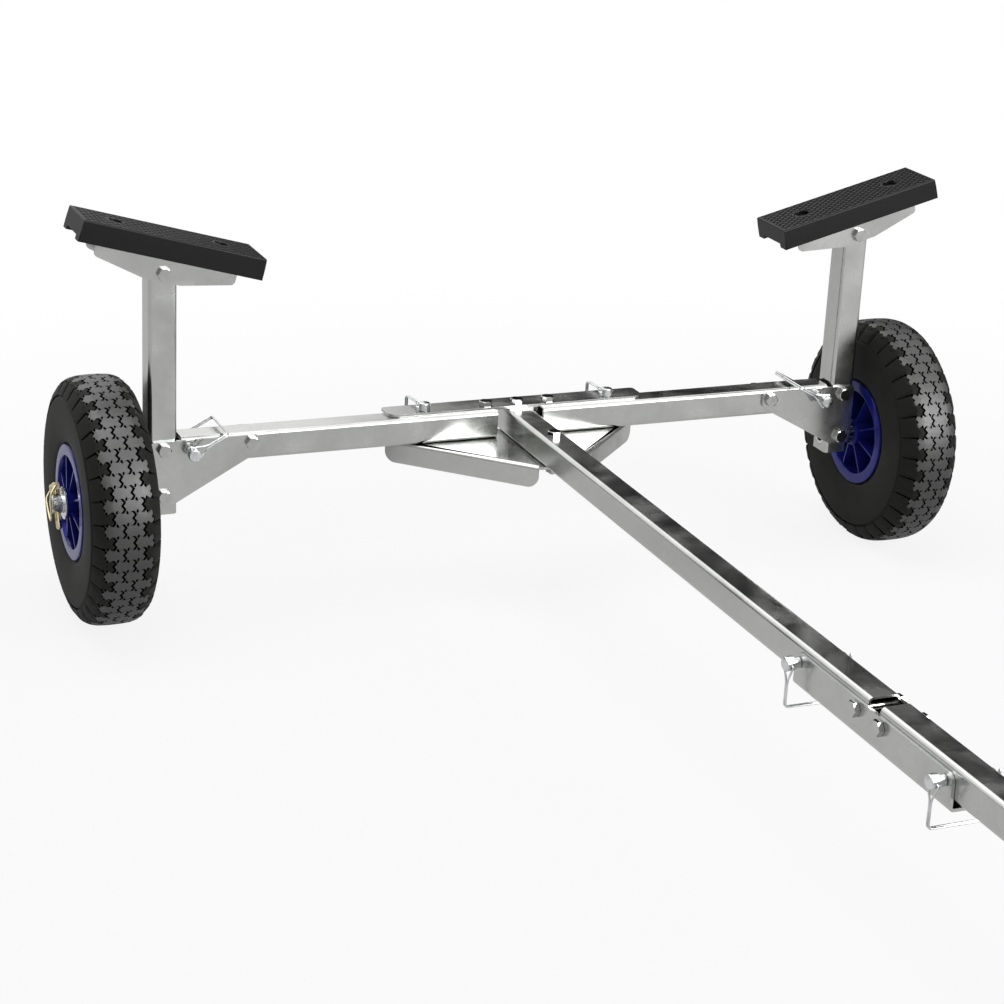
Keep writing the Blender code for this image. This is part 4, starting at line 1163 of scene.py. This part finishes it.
def pad_shape():
    """The pad about its bolt's axis: a rubber channel with a bordered field, rings and countersunk holes."""
    width, length = PAD_WIDTH / 2, PAD_LENGTH / 2
    recess = EAR + SHEET + GAP
    deck = BRACKET_WEB + GAP
    draft = 1.2
    cross = rounded([
        (-width, PAD_SKIRT, 1.2), (draft - width, PAD_TOP, 2.0), (width - draft, PAD_TOP, 2.0),
        (width, PAD_SKIRT, 1.2), (recess + 0.6, PAD_SKIRT, 1.2), (recess, deck, 0.0), (-recess, deck, 0.0),
        (-recess - 0.6, PAD_SKIRT, 1.2),
    ], 5)
    body = slab(cross, 2 * length, turn=ALONG_X)
    plan = rectangle(-length, -width, length, width, 2.5, 6)
    side = rounded([
        (-length, PAD_SKIRT - 1, 0), (length, PAD_SKIRT - 1, 0), (length - draft, PAD_TOP, 1.6),
        (draft - length, PAD_TOP, 1.6),
    ], 5)
    body = combined(body, slab(plan, 120), "INTERSECT")
    body = combined(body, slab(side, 90, turn=ALONG_Y), "INTERSECT")
    field = rectangle(BORDER - length, BORDER - width, length - BORDER, width - BORDER, 1.5, 4)
    body = cut(body, [slab(field, 2 * RECESS, (0, 0, PAD_TOP))])
    rings, holes = [], []
    for u in (-PAD_SCREW, PAD_SCREW):
        ring = [
            (HOLE_R - 1.0, PAD_TOP - 3.0), (RING_R + 0.4, PAD_TOP - 3.0), (RING_R + 0.4, PAD_TOP - RECESS),
            (RING_R, PAD_TOP - 0.2), (RING_R - 0.4, PAD_TOP), (HOLE_R - 1.0, PAD_TOP),
        ]
        rings.append(moved(turned(ring, 64), (u, 0, 0)))
        sink = [
            (0, PAD_TOP + 1.0), (HOLE_R + 0.6, PAD_TOP + 1.0), (HOLE_R + 0.3, PAD_TOP - 0.2),
            (HOLE_R, PAD_TOP - 0.8), (HOLE_R - 0.2, PAD_TOP - 4.6), (4.1, PAD_TOP - 9.0),
            (4.1, BRACKET_WEB - 2.0), (0, BRACKET_WEB - 2.0),
        ]
        holes.append(moved(turned(sink, 64), (u, 0, 0)))
    body = combined(body, joined(rings), "UNION")
    body = cut(body, holes)
    return joined([edged(body, 0.3, 50), diamonds()])


def bracket_shape():
    """The folded bracket about its bolt's axis, its ears tapering to the ends, with the pad's two screws."""
    section = channel(BRACKET_WEB, -14.0, 4.0, 1.2)
    shape = slab(section, 2 * BRACKET_HALF, turn=ALONG_X)
    profile = rounded([
        (-BRACKET_HALF, 30.0, 0), (-BRACKET_HALF, 3.5, 5.0), (-20.0, -8.5, 12.0), (20.0, -8.5, 12.0),
        (BRACKET_HALF, 3.5, 5.0), (BRACKET_HALF, 30.0, 0),
    ])
    shape = combined(shape, slab(profile, 80, turn=ALONG_Y), "INTERSECT")
    shape = edged(cut(shape, [drill(BOLT_HOLE, (0, 0, 0), ALONG_Y, TUBE)]), 0.5)
    screws = []
    for u in (-PAD_SCREW, PAD_SCREW):
        head = PAD_TOP - 5.0
        profile = [
            (0, head - 1.6), (2.0, head - 1.6), (2.4, head - 0.1), (6.6, head - 0.1), (7.0, head - 0.5),
            (3.5, head - 4.0), (3.5, BRACKET_WEB - SHEET - 4.0), (0, BRACKET_WEB - SHEET - 4.0),
        ]
        screws.append(moved(turned(profile, 48), (u, 0, 0)))
    return joined([shape] + screws)


def pads():
    pad_mesh, bracket_mesh = pad_shape(), bracket_shape()
    for side, sign in SIDES:
        at = (sign * UPRIGHT_X, 0, mid("pad_bolt_" + side).z)
        tilt = Matrix.Rotation(-sign * PAD_TILT, 4, "Y")
        add("pad_" + side, pad_mesh, PAD, at, tilt, sharp=30)
        add("pad_bracket_" + side, bracket_mesh, STEEL, at, tilt)


# Handle grips and prop stand


def grips():
    """Ribbed grips turned about the handle bar, each with a flange at its inner end."""
    low, high = node_box("grip_right")
    flange, end, start = high.z - BEAM_Z, high.x, low.x
    radius = flange - 3.0
    bore = mid("grip_left").y - node_box("drawbar_front")[0].y + GAP
    profile = [(0, end), (radius - 3.5, end), (radius - 1.0, end - 0.8), (radius, end - 3.0)]
    height = end - 8.0
    while height > start + 14:
        profile += [(radius, height), (radius - 0.9, height - 0.7)]
        profile += [(radius - 0.9, height - 2.1), (radius, height - 2.8)]
        height -= 5.0
    profile += [
        (radius, start + 7.0), (radius + 0.8, start + 5.0), (flange - 0.6, start + 4.0),
        (flange, start + 3.2), (flange, start + 0.8), (flange - 0.8, start), (bore, start),
        (bore, end - 2.7), (0, end - 2.7),
    ]
    mesh = turned(profile, 72)
    for side, sign in SIDES:
        add("grip_" + side, mesh, GRIP, (0, mid("grip_" + side).y, BEAM_Z), outward(sign))


def prop_stand():
    """A bent strap hinged round the drawbar, rounded at its hinge."""
    low, high = node_box("prop_stand")
    bolt_at = mid("stand_bolt")
    top = high.z
    section = channel(0.0, top, 6.0, 3.0)
    width = high.y - low.y
    shape = slab(section, 2 * width, (0, bolt_at.y, 0), ALONG_Y)
    side = rectangle(low.y, -5.0, high.y, top, 0, 16, far=width / 2 - 0.1)
    shape = combined(shape, slab(side, 80, turn=ALONG_X), "INTERSECT")
    shape = cut(shape, [drill(BOLT_HOLE, (0, bolt_at.y, bolt_at.z), ALONG_X, TUBE)])
    add("prop_stand", edged(shape, 0.5), STEEL)


# Stage: floor, light and camera

FLOOR_COLOUR = (0.82, 0.82, 0.82, 1)
FLOOR_WHITE = 0.87
FLOOR_NEAR = 0.8
FLOOR_FAR = 2.0
FLOOR_GLOSS = 0.3
AMBIENT = 0.4
STUDIO_GLOSS = 0.7

# Soft panels that glossy rays see: azimuths and heights in degrees that each edge fades between, and the gain
BEHIND_LEFT = ((68.0, 70.0), (140, 170), (4, 10), (50, 65), 0.95)
BEHIND_RIGHT = ((15, 25), (68.0, 70.0), (-4, -1), (36, 44), -0.67)
FRONT_RIGHT = ((-98, -90), (-42, -34), (3, 8), (40, 48), 2.4)
ABOVE = (30, 42)
ABOVE_GAIN = 1.3


def floor():
    """A pale floor that keeps the object's shadow, white to the camera and greyer to glossy rays."""
    bpy.ops.mesh.primitive_plane_add(size=60)
    plane = bpy.context.object
    plane.name = "floor"
    material = bpy.data.materials.new("floor")
    tree = Nodes(material)
    tree.nodes.clear()
    ray = tree.node("ShaderNodeLightPath").outputs
    place = tree.node("ShaderNodeTexCoord").outputs["Object"]
    away = tree.node("ShaderNodeVectorMath", {"operation": "LENGTH"}, i0=place).outputs["Value"]
    white = tree.step(away, FLOOR_NEAR, FLOOR_FAR, To_Min=FLOOR_WHITE)
    seen = tree.math("MAXIMUM", ray["Is Camera Ray"], ray["Is Transmission Ray"])
    shiny = tree.math("MULTIPLY", ray["Is Glossy Ray"], FLOOR_GLOSS)
    share = tree.math("MAXIMUM", tree.math("MULTIPLY", seen, white), shiny)
    diffuse = tree.node("ShaderNodeBsdfDiffuse", Color=FLOOR_COLOUR).outputs[0]
    glow = tree.node("ShaderNodeEmission").outputs[0]
    mix = tree.node("ShaderNodeMixShader", i0=share, i1=diffuse, i2=glow)
    tree.node("ShaderNodeOutputMaterial", Surface=mix.outputs[0])
    plane.data.materials.append(material)


def studio():
    """A white studio whose panels, bright, dark and overhead, are seen by glossy rays alone."""
    world = bpy.data.worlds.new("studio")
    bpy.context.scene.world = world
    tree = Nodes(world)
    tree.nodes.clear()
    place = tree.node("ShaderNodeTexCoord").outputs["Generated"]
    x, y, z = tree.node("ShaderNodeSeparateXYZ", i0=place).outputs
    azimuth = tree.math("DEGREES", tree.math("ARCTAN2", y, x))
    height = tree.math("DEGREES", tree.math("ARCSINE", z))

    def span(angle, start, end):
        """Share between two soft edges."""
        before_end = tree.math("SUBTRACT", 1.0, tree.step(angle, *end))
        return tree.math("MULTIPLY", tree.step(angle, *start), before_end)

    glossy = STUDIO_GLOSS
    for left, right, low, high, gain in (BEHIND_LEFT, BEHIND_RIGHT, FRONT_RIGHT):
        share = tree.math("MULTIPLY", span(azimuth, left, right), span(height, low, high))
        glossy = tree.math("MULTIPLY_ADD", share, gain, glossy)
    glossy = tree.math("MULTIPLY_ADD", tree.step(height, *ABOVE), ABOVE_GAIN, glossy)
    ray = tree.node("ShaderNodeLightPath").outputs
    strength = tree.math("MULTIPLY_ADD", ray["Is Camera Ray"], 1.0 - AMBIENT, AMBIENT)
    through = tree.math("MULTIPLY", ray["Is Transmission Ray"], 1.0 - AMBIENT)
    strength = tree.math("ADD", strength, through)
    reflected = tree.math("MULTIPLY", ray["Is Glossy Ray"], tree.math("SUBTRACT", glossy, AMBIENT))
    strength = tree.math("ADD", strength, reflected)
    background = tree.node("ShaderNodeBackground", Strength=strength)
    tree.node("ShaderNodeOutputWorld", Surface=background.outputs[0])


LAMP_TARGET = Vector((0, 0.3, 0.2))


def area_light(name, direction, distance, size, power):
    """A round lamp in metres and watts, aimed at the object from a direction."""
    light = bpy.data.lights.new(name, "AREA")
    light.shape = "DISK"
    light.size = size
    light.energy = power
    lamp = bpy.data.objects.new(name, light)
    lamp.location = LAMP_TARGET + Vector(direction).normalized() * distance
    lamp.rotation_euler = (-Vector(direction)).to_track_quat("-Z", "Y").to_euler()
    bpy.context.scene.collection.objects.link(lamp)
    return lamp


VIEW_PLACE = (-1.0300, -1.7223, 1.0276)
VIEW_RIGHT = Vector((0.92469, -0.37784, 0.04677))
VIEW_UP = Vector((0.08909, 0.33416, 0.93830))
LENS = 89.11


def camera():
    """The photograph's view: its place in metres, and its right and up directions."""
    data = bpy.data.cameras.new("camera")
    data.sensor_width = 36.0
    data.lens = LENS
    data.clip_end = 200
    view = bpy.data.objects.new("camera", data)
    turn = basis(VIEW_RIGHT, VIEW_UP, VIEW_RIGHT.cross(VIEW_UP))
    view.matrix_world = Matrix.Translation(VIEW_PLACE) @ turn
    bpy.context.scene.collection.objects.link(view)
    bpy.context.scene.camera = view


camera()
studio()
floor()
area_light("key", (0.6, -0.7, 0.45), 3.5, 2.0, 42)
area_light("glint", (0.44, -0.83, 0.36), 3.5, 2.0, 50).visible_diffuse = False
area_light("overhead", (-0.2, 0.1, 1.0), 3.2, 2.6, 44)
bpy.context.scene.view_settings.view_transform = "Standard"

beams()
centre_plates()
drawbar()
bolts()
locks()
legs()
wheels()
pads()
grips()
prop_stand()
